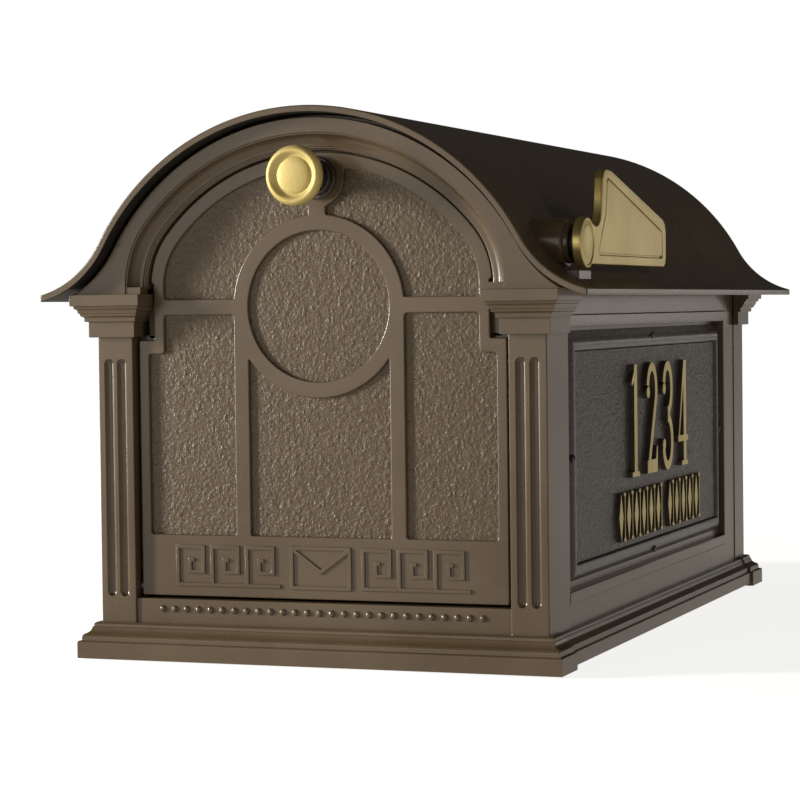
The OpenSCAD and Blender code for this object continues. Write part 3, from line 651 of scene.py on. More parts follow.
boss_x = half_w + 5.6
neck_x = boss_x + 2.6
boss_r = 14.2
boss_profile = [(0, half_w - 22), (boss_r, half_w - 22), (boss_r, boss_x - 1.6), (boss_r - 0.5, boss_x - 0.5),
                (boss_r - 1.6, boss_x), (boss_r - 2.6, boss_x), (boss_r - 2.7, boss_x + 0.3),
                (boss_r - 2.7, neck_x - 0.5), (boss_r - 3.2, neck_x), (0, neck_x)]
boss = as_object("boss", turned(boss_profile, 72, across))
web = as_object("web", block((half_w - 22, flag_y - 10, eave_z - 2), (boss_x - 3, flag_y + 10, flag_z), 1.5))
ledge = as_object("ledge", block((half_w - 10, flag_y - 12, eave_z - 1),
                                 (half_w + 15, flag_y + 13, flag_z - disc_r - 0.5), 1.2))
roof_metal = combined(roof_sheet, [boss, web, ledge])
roof = piece("roof_casting", [roof_metal], "housing", [bronze_paint, painted_shade_underside],
             ["roof"])
# Faces that look inwards or downwards take the near-black painted shade in slot 1; the rest keep the bronze.
for face in roof.data.polygons:
    outwards = Vector((face.center.x, 0, face.center.z - crown_z * MM)).normalized()
    looks_in = face.normal.dot(outwards) < -0.4 or face.normal.z < -0.4
    face.material_index = 1 if looks_in and face.center.x < half_w * MM else 0

# %% [markdown]
# ## The end frames
# Each end frame is one casting, but it reads as a small building: a stepped base, two fluted pilasters with
# capitals, and an arch whose face sinks to the door through a cove. Each of those is a loft of its own,
# drawn in X, depth and height, so the same functions serve the front and the rear by mirroring.

# %% The arch
arch_half = inner_w + 0.6
arch_r = crown_r - 14.5
spring_z = eave_z + 4
rise = spring_z - crown_z
haunch_r = (arch_r ** 2 - arch_half ** 2 - rise ** 2) / (2 * (arch_r - arch_half))
haunch_x = arch_half - haunch_r
haunch_a = math.degrees(math.atan2(rise, haunch_x))
cove_w = 9.8


def half_arch(inwards, crown_steps=36, haunch_steps=14):
    """Points of the right half of the doorway arch, from its top to its spring, moved inwards."""
    crown = arc(0, crown_z, arch_r - inwards, 90, haunch_a, crown_steps)
    haunch = arc(haunch_x, spring_z, haunch_r - inwards, haunch_a, 0, haunch_steps)
    return crown + haunch[1:]


def arch_line(inwards):
    """The whole arch from the right foot over the crown to the left foot."""
    half = half_arch(inwards)
    return half[::-1] + [(-x, z) for x, z in half[1:]]


print(f"arch crown {arch_r:.1f}, haunches {haunch_r:.1f} at {haunch_x:.1f}, joined at {haunch_a:.1f} degrees")

# %% [markdown]
# The face of the arch is a single loft. Each ring starts under the roof, crosses the flat band, steps down
# the cove to the doorway, turns out again as the flange that stops the door, and returns behind.

# %% Arch face and cove
spandrel_u = 4.0
roof_gap = 2.0
cove_u = 14.5
stop_u = door_u + 5.7
stop_t = 3.8
stop_in = 9.0
cove_drop = cove_u - spandrel_u
hollow = [(1.2 + 6.2 * (1 - math.cos(math.radians(a))), 1.0 + 7.2 * math.sin(math.radians(a)))
          for a in range(0, 91, 10)]
cove_section = ([(0.0, 0.0), (0.2, 0.1), (0.3, 0.3), (0.35, 0.8), (0.5, 1.0), (1.0, 1.0)] + hollow
                + [(7.6, 8.2), (7.8, 8.3), (7.9, 8.5), (7.95, 9.1), (8.1, 9.3), (8.6, 9.3), (8.8, 9.5),
                   (8.85, cove_drop - 0.4), (9.1, cove_drop - 0.1), (9.55, cove_drop),
                   (cove_w, cove_drop + 0.3)])


def between(a, b, share):
    return tuple(p + (q - p) * share for p, q in zip(a, b))


def even(points, count):
    """The same line cut into equal steps."""
    lengths = [0.0]
    for a, b in zip(points, points[1:]):
        lengths.append(lengths[-1] + math.dist(a, b))
    out, k = [], 0
    for i in range(count + 1):
        goal = lengths[-1] * i / count
        while k < len(points) - 2 and lengths[k + 1] < goal:
            k += 1
        span = max(lengths[k + 1] - lengths[k], 1e-9)
        out.append(between(points[k], points[k + 1], (goal - lengths[k]) / span))
    return out


def arch_face():
    """Rings along the arch: each joins a point under the roof to a point on the doorway's edge."""
    crown_steps, haunch_steps, foot = 36, 18, eave_z - 1.5
    under = roof_t + roof_gap
    outer = (arc(0, crown_z, crown_r - under, 90, haunch_a, crown_steps)
             + even(half_roof_line(under, haunch_a, True, 10, 20), haunch_steps)[1:])
    lines = {}
    for inwards, _ in cove_section + [(cove_w + stop_in, 0)]:
        lower = even(arc(haunch_x, spring_z, haunch_r - inwards, haunch_a, 0, 40)
                     + [(arch_half - inwards, foot)], haunch_steps)
        lines[inwards] = arc(0, crown_z, arch_r - inwards, 90, haunch_a, crown_steps) + lower[1:]
    rings = []
    for k, top in enumerate(outer):
        eased_edge = between(top, lines[0.0][k], 0.05)
        ring = [(*top, stop_u + stop_t), (*top, spandrel_u + 0.7), (*eased_edge, spandrel_u)]
        ring += [(*lines[inwards][k], spandrel_u + down) for inwards, down in cove_section]
        flange = lines[cove_w + stop_in][k]
        ring += [(*lines[cove_w][k], stop_u), (*flange, stop_u), (*flange, stop_u + stop_t)]
        rings.append([(x, u, z) for x, z, u in ring])
    mirrored = [[(-x, u, z) for x, u, z in ring] for ring in rings[1:]]
    return loft(rings[::-1] + mirrored)


def roof_rim():
    """The inner rim just under the roof, set back so that a dark gap shows above the arch face."""
    upper = [p for p in roof_line(roof_t + 0.3, True) if abs(p[0]) < half_w + 10]
    lower = [p for p in roof_line(2 * roof_t + 1, True) if abs(p[0]) < half_w + 10]
    outline = upper + lower[::-1]
    return loft([[(x, u, z) for x, z in outline] for u in (spandrel_u + 9.7, stop_u + stop_t)])


# %% [markdown]
# ## Base and capitals
# Both are mouldings that turn a corner. A profile gives how far each step stands out and how high it is; at
# a corner the profile is pushed out on both sides at once, which cuts the mitre by itself.

# %% Base and capitals
base_profile = [(10.7, 0), (10.7, 9.6), (10, 10.3), (8.7, 10.3), (8.7, 12.4), (8.3, 13.4), (7.5, 14.1),
                (5.8, 14.9), (4.7, 16.2), (4.1, 18.2), (3.5, 18.2), (3.5, 19.9), (2, base_h)]
capital_profile = [(3.5, -25.1), (3.5, -15.9), (5.2, -15.9), (5.2, -13.6), (5.8, -12.9), (6.9, -12.5),
                   (6.9, -11.0), (7.7, -11.0), (7.8, -9.8), (8.3, -8.7), (9.4, -8.2), (9.4, -6.7),
                   (11, -6.7), (11, 0)]


def moulding(profile, stations, z0, front_scale, inwards):
    """Sweeps a profile past stations of (x, u, side, front): which way it is pushed at each one."""
    closed = rounded(profile + [(-inwards, profile[-1][1]), (-inwards, profile[0][1])], 0.45, 2)
    rings = []
    for x, u, side, front in stations:
        rings.append([(x + side * out, u - front * front_scale * out, z0 + z) for out, z in closed])
    return loft(rings)


def base(back):
    stations = [(-half_w, back, -1, 0), (-half_w, pilaster_u, -1, 1),
                (half_w, pilaster_u, 1, 1), (half_w, back, 1, 0)]
    return moulding(base_profile, stations, 0, 1.12, wall)


def capital(back):
    stations = [(inner_w, stop_u + stop_t, -1, 0), (inner_w, pilaster_u, -1, 1),
                (half_w, pilaster_u, 1, 1), (half_w, back, 1, 0)]
    return moulding(capital_profile, stations, eave_z, 1.32, 9.0)


# %% [markdown]
# ## Fluted pilasters
# A flute is a round groove that ends in a half circle. The pilaster is lofted upwards from one plan, and
# near each end of the flutes the groove narrows and grows shallow along a circle, so its end is a true
# quarter sphere and not a flat stop.

# %% Pilaster
flute_w = 5.8
flute_d = 2.0
flute_pitch = 8.2
flute_low = sill_h - 0.4
flute_high = capital_low - 12.7


def pilaster_plan(back, open_share):
    """Plan of the hollow pilaster, with both flutes open by a share of their full size."""
    middle = half_w - (half_w - inner_w) / 2
    front = [(inner_w, pilaster_u + 0.8), (inner_w + 0.25, pilaster_u + 0.25), (inner_w + 0.8, pilaster_u)]
    for side in (-1, 1):
        centre = middle + side * flute_pitch / 2
        for k in range(15):
            a = math.pi * k / 14
            easing = 0.35 * open_share if k in (0, 14) else 0
            x = centre - math.cos(a) * (flute_w / 2 * open_share + easing)
            front.append((x, pilaster_u + math.sin(a) ** 0.9 * flute_d * open_share))
    front += [(half_w - 0.8, pilaster_u), (half_w - 0.25, pilaster_u + 0.25), (half_w, pilaster_u + 0.8)]
    behind = [(half_w, back), (half_w - wall, back), (half_w - wall, pilaster_u + 7),
              (inner_w + wall, pilaster_u + 7), (inner_w + wall, stop_u + stop_t), (inner_w, stop_u + stop_t)]
    return front + behind


def pilaster(back):
    end = flute_w / 2
    rows = [(base_h - 1, 0.0), (flute_low, 0.001)]
    for k in range(1, 9):
        a = math.pi / 2 * k / 8
        rows.append((flute_low + end * (1 - math.cos(a)), max(0.001, math.sin(a))))
    for z, share in [(flute_low + flute_high - z, share) for z, share in rows[:0:-1]]:
        rows.append((z, share))
    rows.append((eave_z - 4, 0.0))
    return loft([[(x, u, z) for x, u in pilaster_plan(back, max(share, 0.001))] for z, share in rows])


# %% [markdown]
# ## Assembling a casting
# The parts are placed against the front or the rear base face. The rear is the same drawing turned to face
# the other way, which would leave its faces inside out, so normals are worked out after placing.

# %% Casting
front_return = 52.7                          # how far back the outer walls of a frame's pilasters run
rear_return = 40.5
ledge_top = cover_low.z - 0.2
hinge_z = sill_h + 5.8
sill_top = sill_h - 1.0                      # clears the door's ornament when the door lies open


def casting(name, back, ledge, place):
    parts = [arch_face(), roof_rim(), base(30.0)]
    mirror = Matrix.Scale(-1, 4, Vector((1, 0, 0)))
    for flip in (Matrix.Identity(4), mirror):
        for bm in (capital(min(back, 46.0)), pilaster(back),
                   block((inner_w - 12, stop_u, hinge_z + 10),
                         (inner_w + 1, stop_u + stop_t, capital_low + 1)),
                   block((inner_w - 18.1, stop_u, capital_low - 1),
                         (inner_w - 6.1, stop_u + stop_t, spring_z)),
                   block((arch_half - cove_w, spandrel_u + 0.7, eave_z - 1),
                         (arch_half + 4, stop_u + stop_t, spring_z), 0.1)):
            bmesh.ops.transform(bm, matrix=flip, verts=bm.verts)
            parts.append(bm)
    strip_back = sill_u + 2.8
    strip = rounded([(sill_u, base_h - 1), (strip_back, base_h - 1), (strip_back, sill_top),
                     (sill_u, sill_top)],
                    0.7, 3)
    parts.append(loft([[(x, u, z) for u, z in strip] for x in (-inner_w - 1, inner_w + 1)]))
    parts.append(block((-inner_w - 1, 14, base_h - 1), (inner_w + 1, stop_u, ledge)))
    return [eased(as_object(f"{name}_{k}", bm, place), 0.5, 2, 55) for k, bm in enumerate(parts)]


at_front = Matrix.Translation((0, front_y, 0))
at_rear = Matrix.Translation((0, rear_y, 0)) @ Matrix.Scale(-1, 4, Vector((0, 1, 0)))
piece("front_casting", casting("front", front_return, sill_top, at_front), "housing",
      [bronze_paint], ["front_frame"])
piece("rear_casting", casting("rear", rear_return, ledge_top, at_rear), "housing",
      [bronze_paint], ["rear_frame"])

# %% [markdown]
# ## The door
# The door is a plate whose raised face is a frame, a ring and bars, with hammered panels sunk between them.
# The raised face is one outline with six holes. The hammered ground is a fine grid moved by noise, so its
# dimples are real and not only painted on, and it lies behind the holes like the floor of the mould.

# %% Door outlines
door_t = 5.0
panel_sink = 2.0
notch_half = inner_w - 12.1
door_half = door_high.x
notch_z = capital_low - 2
ring_z = eave_z - 8.3
ring_r = 48.0
bar_w = 9.2
outer_r = ring_r + bar_w / 2
inner_r = ring_r - bar_w / 2
crossbar_z = eave_z - 8
crossbar_low = crossbar_z - bar_w / 2
crossbar_high = crossbar_z + bar_w / 2
panel_low_z = 72.7
panel_half = inner_w - 8.3
field_in = 19.0
field_half = arch_half - field_in
field_top = notch_z - 8
knob_low, knob_high = box("door_knob")
knob_z = (knob_low.z + knob_high.z) / 2
lug_r = 17.0
stem_half = 5.5


def door_edge():
    """The door's outline, notched round the capitals."""
    top = [p for p in arch_line(cove_w + 1.1) if p[1] >= spring_z]
    right = [(door_half, door_low.z), (door_half, notch_z), (notch_half, notch_z),
             (notch_half, spring_z + 1.8)]
    left = [(-x, z) for x, z in right[::-1]]
    return rounded(right + [p for p in top if p[1] > spring_z + 1.9] + left, 1.2, 3)


def upper_panel():
    """The hammered panel above the crossbar, between the ring, the lug and the frame."""
    arch_side = [p for p in half_arch(field_in, 48, 14)[::-1] if p[0] > lug_r + 3.5]
    crown_in = arch_r - field_in
    corner = (lug_r, crown_z + math.sqrt(crown_in ** 2 - lug_r ** 2))
    stem_top = -math.degrees(math.acos(stem_half / lug_r))
    lug = arc(0, knob_z, lug_r, 0, stem_top, 10)
    ring_top = math.degrees(math.acos(stem_half / outer_r))
    ring_end = math.degrees(math.asin((crossbar_high - ring_z) / outer_r))
    ring = arc(0, ring_z, outer_r, ring_top, ring_end, 30)
    points = [(field_half, crossbar_high)] + arch_side + [corner] + lug + ring
    return rounded(points, 2.2, 4)


def lower_side_panel():
    points = [(outer_r, crossbar_low), (outer_r, panel_low_z), (panel_half, panel_low_z),
              (panel_half, field_top), (field_half, field_top), (field_half, crossbar_low)]
    return rounded(points, 2.0, 4)


def lower_middle_panel():
    swing = math.degrees(math.acos(inner_r / outer_r))
    top = arc(0, ring_z, outer_r, -swing, swing - 180, 24)
    return rounded([(-inner_r, panel_low_z), (inner_r, panel_low_z)] + top, 1.4, 3)


def mirrored(points):
    return [(-x, z) for x, z in points[::-1]]


holes = [upper_panel(), mirrored(upper_panel()), lower_side_panel(), mirrored(lower_side_panel()),
         lower_middle_panel(), arc(0, ring_z, inner_r, 0, 360, 96)[:-1]]
print("door outline", len(door_edge()), "points, panels", [len(h) for h in holes])


def on_front(a, b, depth):
    return (a, depth, b)


# %% Grounds with a real relief
def crossings(outline, across):
    """Where an upright line at a distance across cuts an outline, as pairs of heights."""
    cuts = []
    for a, b in zip(outline, outline[1:] + outline[:1]):
        if (a[0] - across) * (b[0] - across) < 0:
            cuts.append(a[1] + (b[1] - a[1]) * (across - a[0]) / (b[0] - a[0]))
    cuts.sort()
    return list(zip(cuts[::2], cuts[1::2]))


def ground_sheet(outlines, step, relief, level, back, put):
    """A closed sheet inside some outlines: a fine grid in front, raised by relief(a, b), and a flat back."""
    bm = bmesh.new()
    grid = {}
    first = min(a for outline in outlines for a, _ in outline)
    last = max(a for outline in outlines for a, _ in outline)
    for i in range(int((last - first) / step) + 1):
        across = first + (i + 0.5) * step
        for bottom, top in (pair for outline in outlines for pair in crossings(outline, across)):
            for j in range(math.ceil(bottom / step), math.floor(top / step) + 1):
                if (i, j) not in grid:
                    grid[i, j] = bm.verts.new(put(across, j * step, level + relief(across, j * step)))
    for i, j in grid:
        corners = [grid.get(key) for key in ((i, j), (i + 1, j), (i + 1, j + 1), (i, j + 1))]
        if all(corners):
            bm.faces.new(corners)
    bmesh.ops.delete(bm, geom=[v for v in bm.verts if not v.link_faces], context="VERTS")
    border = [e for e in bm.edges if len(e.link_faces) == 1]
    drawn = bmesh.ops.extrude_edge_only(bm, edges=border)["geom"]
    thickness = Vector(put(0, 0, back)) - Vector(put(0, 0, level))
    for item in drawn:
        if isinstance(item, bmesh.types.BMVert):
            item.co += thickness
    rim = [e for e in drawn if isinstance(e, bmesh.types.BMEdge) and len(e.link_faces) == 1]
    bmesh.ops.triangle_fill(bm, edges=rim, use_beauty=False)
    return bm


# %% Hammered ground of the door's panels
HAMMER_STEP = 0.72


def dimples(x, z):
    """Soft lumps between creases, like hammered or wrinkled metal; negative depths stand forward."""
    at = Vector((x, z, 0))
    bend = noise.noise_vector(at / 5.0) * 1.3
    lumps = abs(noise.noise((at + bend) / 1.9))
    swell = noise.noise((at + bend) / 3.6 + Vector((7, 3, 1)))
    return -(0.68 * lumps ** 0.8 + 0.10 * swell)


# %% [markdown]
# The lower rail carries a cast ornament: an envelope in the middle, and a key pattern on each side of it.
# One key is drawn once; Geometry Nodes set copies of it along a line, which is how a pattern maker would
# repeat one carved block.

# %% Trees of Geometry Nodes
def open_tree(name, sockets):
    """Starts a tree with named inputs and returns its nodes and its inputs as values."""
    tree = bpy.data.node_groups.new(name, "GeometryNodeTree")
    tree.interface.new_socket("Geometry", in_out="INPUT", socket_type="NodeSocketGeometry")
    for label, kind in sockets.items():
        tree.interface.new_socket(label, in_out="INPUT", socket_type="NodeSocket" + kind)
    tree.interface.new_socket("Geometry", in_out="OUTPUT", socket_type="NodeSocketGeometry")
    nodes = Nodes(tree)
    entry = tree.nodes.new("NodeGroupInput")
    return nodes, {socket.name: Value(nodes, socket) for socket in entry.outputs if socket.name}


def close_tree(nodes, copies, coat):
    """Ends a tree: copies become real geometry and take their finish."""
    solid = nodes.add("GeometryNodeRealizeInstances", None, {"Geometry": copies})
    coated = nodes.add("GeometryNodeSetMaterial", None, {"Geometry": solid, "Material": coat})
    nodes.add("NodeGroupOutput", None, {"Geometry": coated})
    return nodes.tree


def run_tree(obj, tree, values):
    """Runs a tree on an object and keeps the result as a plain mesh."""
    run = obj.modifiers.new(tree.name, "NODES")
    run.node_group = tree
    for socket in tree.interface.items_tree:
        if socket.in_out == "INPUT" and socket.name in values:
            run[socket.identifier] = values[socket.name]
    return applied(obj)


# %% A tree that repeats a shape along a line
nodes, given = open_tree("repeat_along_a_line", {"Count": "Int", "Step": "Vector", "Start": "Vector",
                                                 "Finish": "Material"})
line = nodes.add("GeometryNodeMeshLine", None,
                 {"Count": given["Count"], "Start Location": given["Start"], "Offset": given["Step"]})
copies = nodes.add("GeometryNodeInstanceOnPoints", None, {"Points": line, "Instance": given["Geometry"]})
line_tree = close_tree(nodes, copies, given["Finish"])


def repeated(obj, count, step, start, coat):
    """Copies of an object drawn at the origin, from a start in even steps; lengths in millimetres."""
    return run_tree(obj, line_tree, {"Count": count, "Step": [c * MM for c in step],
                                     "Start": [c * MM for c in start], "Finish": coat})


# %% Ornament of the lower rail and the sill
ornament_relief = 1.0
key_w = 22.0
key_h = 22.0
line_w = 2.2


def key_block():
    """One turn of the key pattern, drawn from the origin."""
    s = key_h / 5
    path = [(0, 0), (0, 5), (4, 5), (4, 1.7), (1.9, 1.7), (1.9, 3.3), (2.6, 3.3)]
    turn = ribbon([(a * s * 0.93, b * s) for a, b in path], line_w)
    foot = [(-line_w / 2, -line_w / 2), (key_w - line_w / 2, -line_w / 2), (key_w - line_w / 2, line_w / 2),
            (-line_w / 2, line_w / 2)]
    blocks = [as_object("turn", plate([turn], 0.3, -ornament_relief, 0.35, on_front)),
              as_object("foot", plate([foot], 0.3, -ornament_relief, 0.35, on_front))]
    return combined(blocks[0], blocks[1:])


def envelope():
    """A plain envelope: a frame with its flap drawn as two lines."""
    w, h = 38.0, 25.0
    frame_line = rounded([(0, 0), (w, 0), (w, h), (0, h)], 1.5)
    hole = rounded([(line_w, line_w), (w - line_w, line_w), (w - line_w, h - line_w), (line_w, h - line_w)],
                   0.8)
    flap = ribbon([(1.5, h - 1.8), (w / 2, h * 0.42), (w - 1.5, h - 1.8)], line_w)
    blocks = [as_object("frame", plate([frame_line, hole], 0.3, -ornament_relief, 0.35, on_front)),
              as_object("flap", plate([flap], 0.3, -ornament_relief, 0.35, on_front))]
    return combined(blocks[0], blocks[1:])


def bead():
    """A low dome for the sill's bead row."""
    profile = [(0, 0.3), (2.1, 0.3), (2.1, 0.0), (2.0, -0.4), (1.65, -0.9), (1.0, -1.25), (0, -1.4)]
    return as_object("bead", turned(profile, 16, lambda a, b, d: (a, d, b)))


rail_z = (door_low.z + panel_low_z) / 2
keys = 3
left_start = -24.0 - keys * key_w
face_y = front_y + door_u
ornament = [repeated(key_block(), keys, (key_w, 0, 0), (start, face_y, rail_z - key_h / 2), bronze_paint)
            for start in (left_start, 26.0)]
letter = envelope()
letter.data.transform(Matrix.Translation(Vector((-19.0, face_y, rail_z - 12.5)) * MM))
ornament.append(letter)
bead_pitch = 7.6
beads_each_side = 13
bead_start = (-beads_each_side * bead_pitch, front_y + sill_u, (base_h + sill_h) / 2 + 0.8)
beads = repeated(bead(), 2 * beads_each_side + 1, (bead_pitch, 0, 0), bead_start, bronze_paint)
piece("sill_beads", [beads], "housing", [bronze_paint])

# %% Door casting
def barrel(side):
    reach = [side * (door_half - 16), side * door_half]
    profile = [(2.6, reach[0]), (4.1, reach[0]), (4.5, reach[0] + side * 0.4), (4.5, reach[1] - side * 0.4),
               (4.1, reach[1]), (2.6, reach[1])]
    hinge_y = door_u + 5.5
    return turned(profile, 32, lambda a, b, d: (d, hinge_y + a, hinge_z + b))


floor_u = door_u + panel_sink
raised = as_object("raised", plate([door_edge()] + holes, floor_u + 0.9, door_u, 0.75, on_front), at_front)
behind = as_object("behind", plate([door_edge()], floor_u + 0.6, door_u + door_t, 0.5, on_front), at_front)
fields = [inset(outline, -1.3) for outline in holes]
hammered_sheet = ground_sheet(fields, HAMMER_STEP, dimples, floor_u + 0.3, floor_u + 1.4, on_front)
ground = as_object("ground", hammered_sheet, at_front)
barrels = [as_object("barrel", barrel(side), at_front) for side in (-1, 1)]
piece("door_casting", [raised, behind, *barrels, *ornament], "door",
      [bronze_paint], ["door"])
piece("door_hammered_panels", [ground], "door", [hammered_paint])

# %% Knob and rosette
def on_knob(a, b, out):
    return (a, front_y + door_u - out, knob_z + b)


knob_out = front_y + door_u - knob_low.y
rk = knob_high.x
knob_profile = [(0, knob_out - 12.8), (2.0, knob_out - 12.8), (2.0, 13.2), (6.2, 13.2), (6.4, 15.0),
                (6.3, 19.5), (7.0, 22.5), (9.0, 25.2), (12.5, knob_out - 8.8), (14.6, knob_out - 7.6),
                (15.9, knob_out - 6.6), (16.7, knob_out - 5.4), (rk, knob_out - 4.2),
                (16.9, knob_out - 3.0), (16.5, knob_out - 1.9), (15.9, knob_out - 0.9),
                (15.2, knob_out - 0.3), (14.3, knob_out), (13.4, knob_out - 0.25), (12.7, knob_out - 0.9),
                (12.2, knob_out - 1.6), (11.6, knob_out - 2.1), (11.0, knob_out - 2.2),
                (10.5, knob_out - 2.1), (10.1, knob_out - 1.8), (9.4, knob_out - 1.5),
                (8.0, knob_out - 1.1), (6.0, knob_out - 0.8), (4.0, knob_out - 0.62),
                (2.0, knob_out - 0.52), (0, knob_out - 0.5)]
piece("knob_turning", [as_object("knob", turned(knob_profile, 96, on_knob))], "door",
      [knob_paint], ["door_knob"])

rr = box("knob_rosette")[1].x
rosette_profile = [(2.2, 0), (rr, 0), (rr, 1.6), (rr - 0.3, 2.2), (rr - 0.9, 2.5), (rr - 1.5, 2.2),
                   (rr - 1.7, 1.7), (rr - 2.2, 1.7), (rr - 2.4, 3.4), (rr - 2.7, 4.2), (rr - 3.3, 4.5),
                   (rr - 3.9, 4.2), (rr - 4.1, 3.7), (rr - 4.5, 3.7), (rr - 4.7, 6.6), (rr - 5.0, 7.3),
                   (rr - 5.5, 7.5), (rr - 5.9, 7.2), (rr - 6.0, 6.9), (rr - 6.3, 6.9), (rr - 6.3, 12.6),
                   (rr - 6.7, 13), (2.2, 13)]
piece("rosette_turning", [as_object("rosette", turned(rosette_profile, 72, on_knob))], "door",
      [glossy_dark_paint], ["knob_rosette"])

# %% [markdown]
# ## Rear cover
# The rear is closed by a plain arched plate with one raised line round it, held by nine screws.

# %% Rear cover
def cover_edge(inside):
    low = cover_low.z + inside
    half = door_half - inside
    top = [p for p in arch_line(cove_w + 1.1 + inside) if p[1] > spring_z]
    right = [(half, low), (half, notch_z - inside), (notch_half - inside, notch_z - inside)]
    return rounded(right + top + [(-x, z) for x, z in right[::-1]], 1.2, 3)


cover = as_object("cover", plate([cover_edge(0)], stop_u - 0.2, door_u, 0.5, on_front), at_rear)
raised_line = plate([cover_edge(11), cover_edge(18)], door_u + 0.4, door_u - 1, 0.5, on_front)
line = as_object("line", raised_line, at_rear)
piece("rear_cover", [cover, line], "housing", [bronze_paint], ["rear_panel"])

# %% [markdown]
# ## Side panels
# A side panel is a frame of rails round a sunk field, open at the front where the end frame's wall takes
# over. The rails are swept round three sides of the field, so their inner step and the small raised fillet
# run through both corners as one moulding.

# %% Side panels
panel_x = half_w - 0.5
sunk_x = plaque_low.x - 0.2
sunk_low = plaque_low.z - 2.3
sunk_high = plaque_high.z + 2.3
sunk_y1 = plaque_high.y + 2.3
panel_y0 = plaque_low.y - 9.2
panel_y1 = rear_y - 40.8
fillet_w = 7.0
fillet_t = 0.8


def rails():
    """Cross-sections of the rails at the four ends and corners of the sunk field's three sides."""
    section = [(0, panel_x - 7, False), (0, panel_x + fillet_t - 0.5, False),
               (0.5, panel_x + fillet_t, False), (fillet_w - 0.6, panel_x + fillet_t, False),
               (fillet_w, panel_x + fillet_t - 0.5, False), (fillet_w + 0.4, panel_x, False),
               (0, panel_x, True), (0, panel_x - 4, True), (fillet_w, panel_x - 7, False)]
    foot = base_h - 2.2
    corners = [(panel_y0, sunk_low, 0, -1, panel_y0, foot), (sunk_y1, sunk_low, 1, -1, panel_y1, foot),
               (sunk_y1, sunk_high, 1, 1, panel_y1, panel_high.z),
               (panel_y0, sunk_high, 0, 1, panel_y0, panel_high.z)]
    rings = []
    for y, z, dy, dz, far_y, far_z in corners:
        rings.append([(x, far_y, far_z) if far else (x, y + dy * out, z + dz * out)
                      for out, x, far in section])
    return loft(rings)


def panel_base():
    low = 30.3
    top = base_h - 1.2
    steps = [(panel_x + 0.9 * out, max(2.0, min(z, base_h - 1) - 0.2)) for out, z in base_profile]
    outline = rounded([(panel_x - 4, 2.0)] + steps + [(panel_x - 4, top)], 0.4, 2)
    return loft([[(x, y, z) for x, z in outline] for y in (front_y + low, rear_y - low)])


def sunk_wall():
    return block((panel_low.x, panel_y0, 20), (sunk_x, panel_y1, panel_high.z - 0.5), 0.3)


def lap_flanges():
    low, high = (half_w - 8.2, panel_low.y, base_h + 4), (half_w - 4.2, panel_high.y, capital_low - 2)
    return block(low, high, 0.3)


turn_left = Matrix.Scale(-1, 4, Vector((1, 0, 0)))
for side, name in ((1, "right"), (-1, "left")):
    place = Matrix.Identity(4) if side > 0 else turn_left
    parts = [eased(as_object(f"{name}_{k}", bm, place), 0.3, 2, 55)
             for k, bm in enumerate((rails(), panel_base(), sunk_wall(), lap_flanges()))]
    piece(f"{name}_panel_casting", parts, "housing", [bronze_paint], [f"{name}_side_panel"])

# %% [markdown]
# ## Plaques
# Each plaque is a shallow tray: a bevelled edge, a rounded rim, and a pebbled ground that carries raised
# gold figures. The figures are a plain run of numbers, and the line below them is a row of lozenges and bars
# instead of a street name.

# %% Figures for the plaque
figure_h = 70.0
figure_w = 28.0
stroke = 7.2
hair = 3.4


def oval(cx, cz, rx, rz, start, end, steps):
    return [(cx + rx * math.cos(math.radians(start + (end - start) * k / steps)),
             cz + rz * math.sin(math.radians(start + (end - start) * k / steps))) for k in range(steps + 1)]


def bar(x0, z0, x1, z1):
    return [(x0, z0), (x1, z0), (x1, z1), (x0, z1)]


def figure_outlines(figure):
    """Overlapping outlines that together make one condensed figure, drawn from its lower left corner."""
    w, h, mid = figure_w, figure_h, figure_w / 2
    if figure == 1:
        return [bar(mid - stroke / 2, 1, mid + stroke / 2, h), bar(mid - 8.5, 0, mid + 8.5, hair),
                [(mid - 9.5, h - 11), (mid - 8.5, h - 13.5), (mid, h - 9), (mid, h)]]
    if figure == 2:
        bowl = oval(mid, h - 17, w / 2 - stroke / 2, 14.5, 170, -25, 22) + [(mid - 8.5, 4)]
        return [ribbon(bowl, stroke * 0.82), bar(2, 0, w - 1.5, stroke + 1.5),
                [(w - 6.5, 5), (w - 1.5, 5), (w - 0.5, 17), (w - 3.2, 17)],
                oval(4.7, h - 18.5, 3.9, 3.9, 0, 345, 15)]
    if figure == 3:
        upper = oval(mid - 0.5, h - 17.5, w / 2 - stroke / 2 - 0.5, 14.8, 165, -90, 22)
        lower = oval(mid - 0.5, 18.0, w / 2 - stroke / 2 + 0.5, 15.6, 90, -168, 24)
        return [ribbon(upper, stroke * 0.86), ribbon(lower, stroke * 0.86),
                oval(4.6, h - 17.5, 3.9, 3.9, 0, 345, 15), oval(4.2, 16.5, 3.9, 3.9, 0, 345, 15)]
    return [bar(w - 13, 1, w - 13 + stroke, h), bar(w - 18, 0, w - 2, hair),
            bar(0.5, 16, w - 1, 16 + hair + 1), [(0.5, 16), (3.6, 16), (w - 8.5, h), (w - 12.5, h)]]


def on_side(a, b, depth):
    return (depth, a, b)


ground_x = plaque_high.x - 1.7
rim_w = 12.4
figures_y = (plaque_low.y + plaque_high.y) / 2 + 12


def figure_object(figure, a, b):
    """One raised figure whose lower left corner is at (a, b) on the plaque."""
    blocks = []
    for k, outline in enumerate(figure_outlines(figure)):
        placed = [(a + x, b + z) for x, z in outline]
        raised_stroke = plate([placed], ground_x - 0.6 - 0.05 * k, ground_x + 3.1, 0.5, on_side)
        blocks.append(as_object(f"stroke_{k}", raised_stroke))
    return combined(blocks[0], blocks[1:])


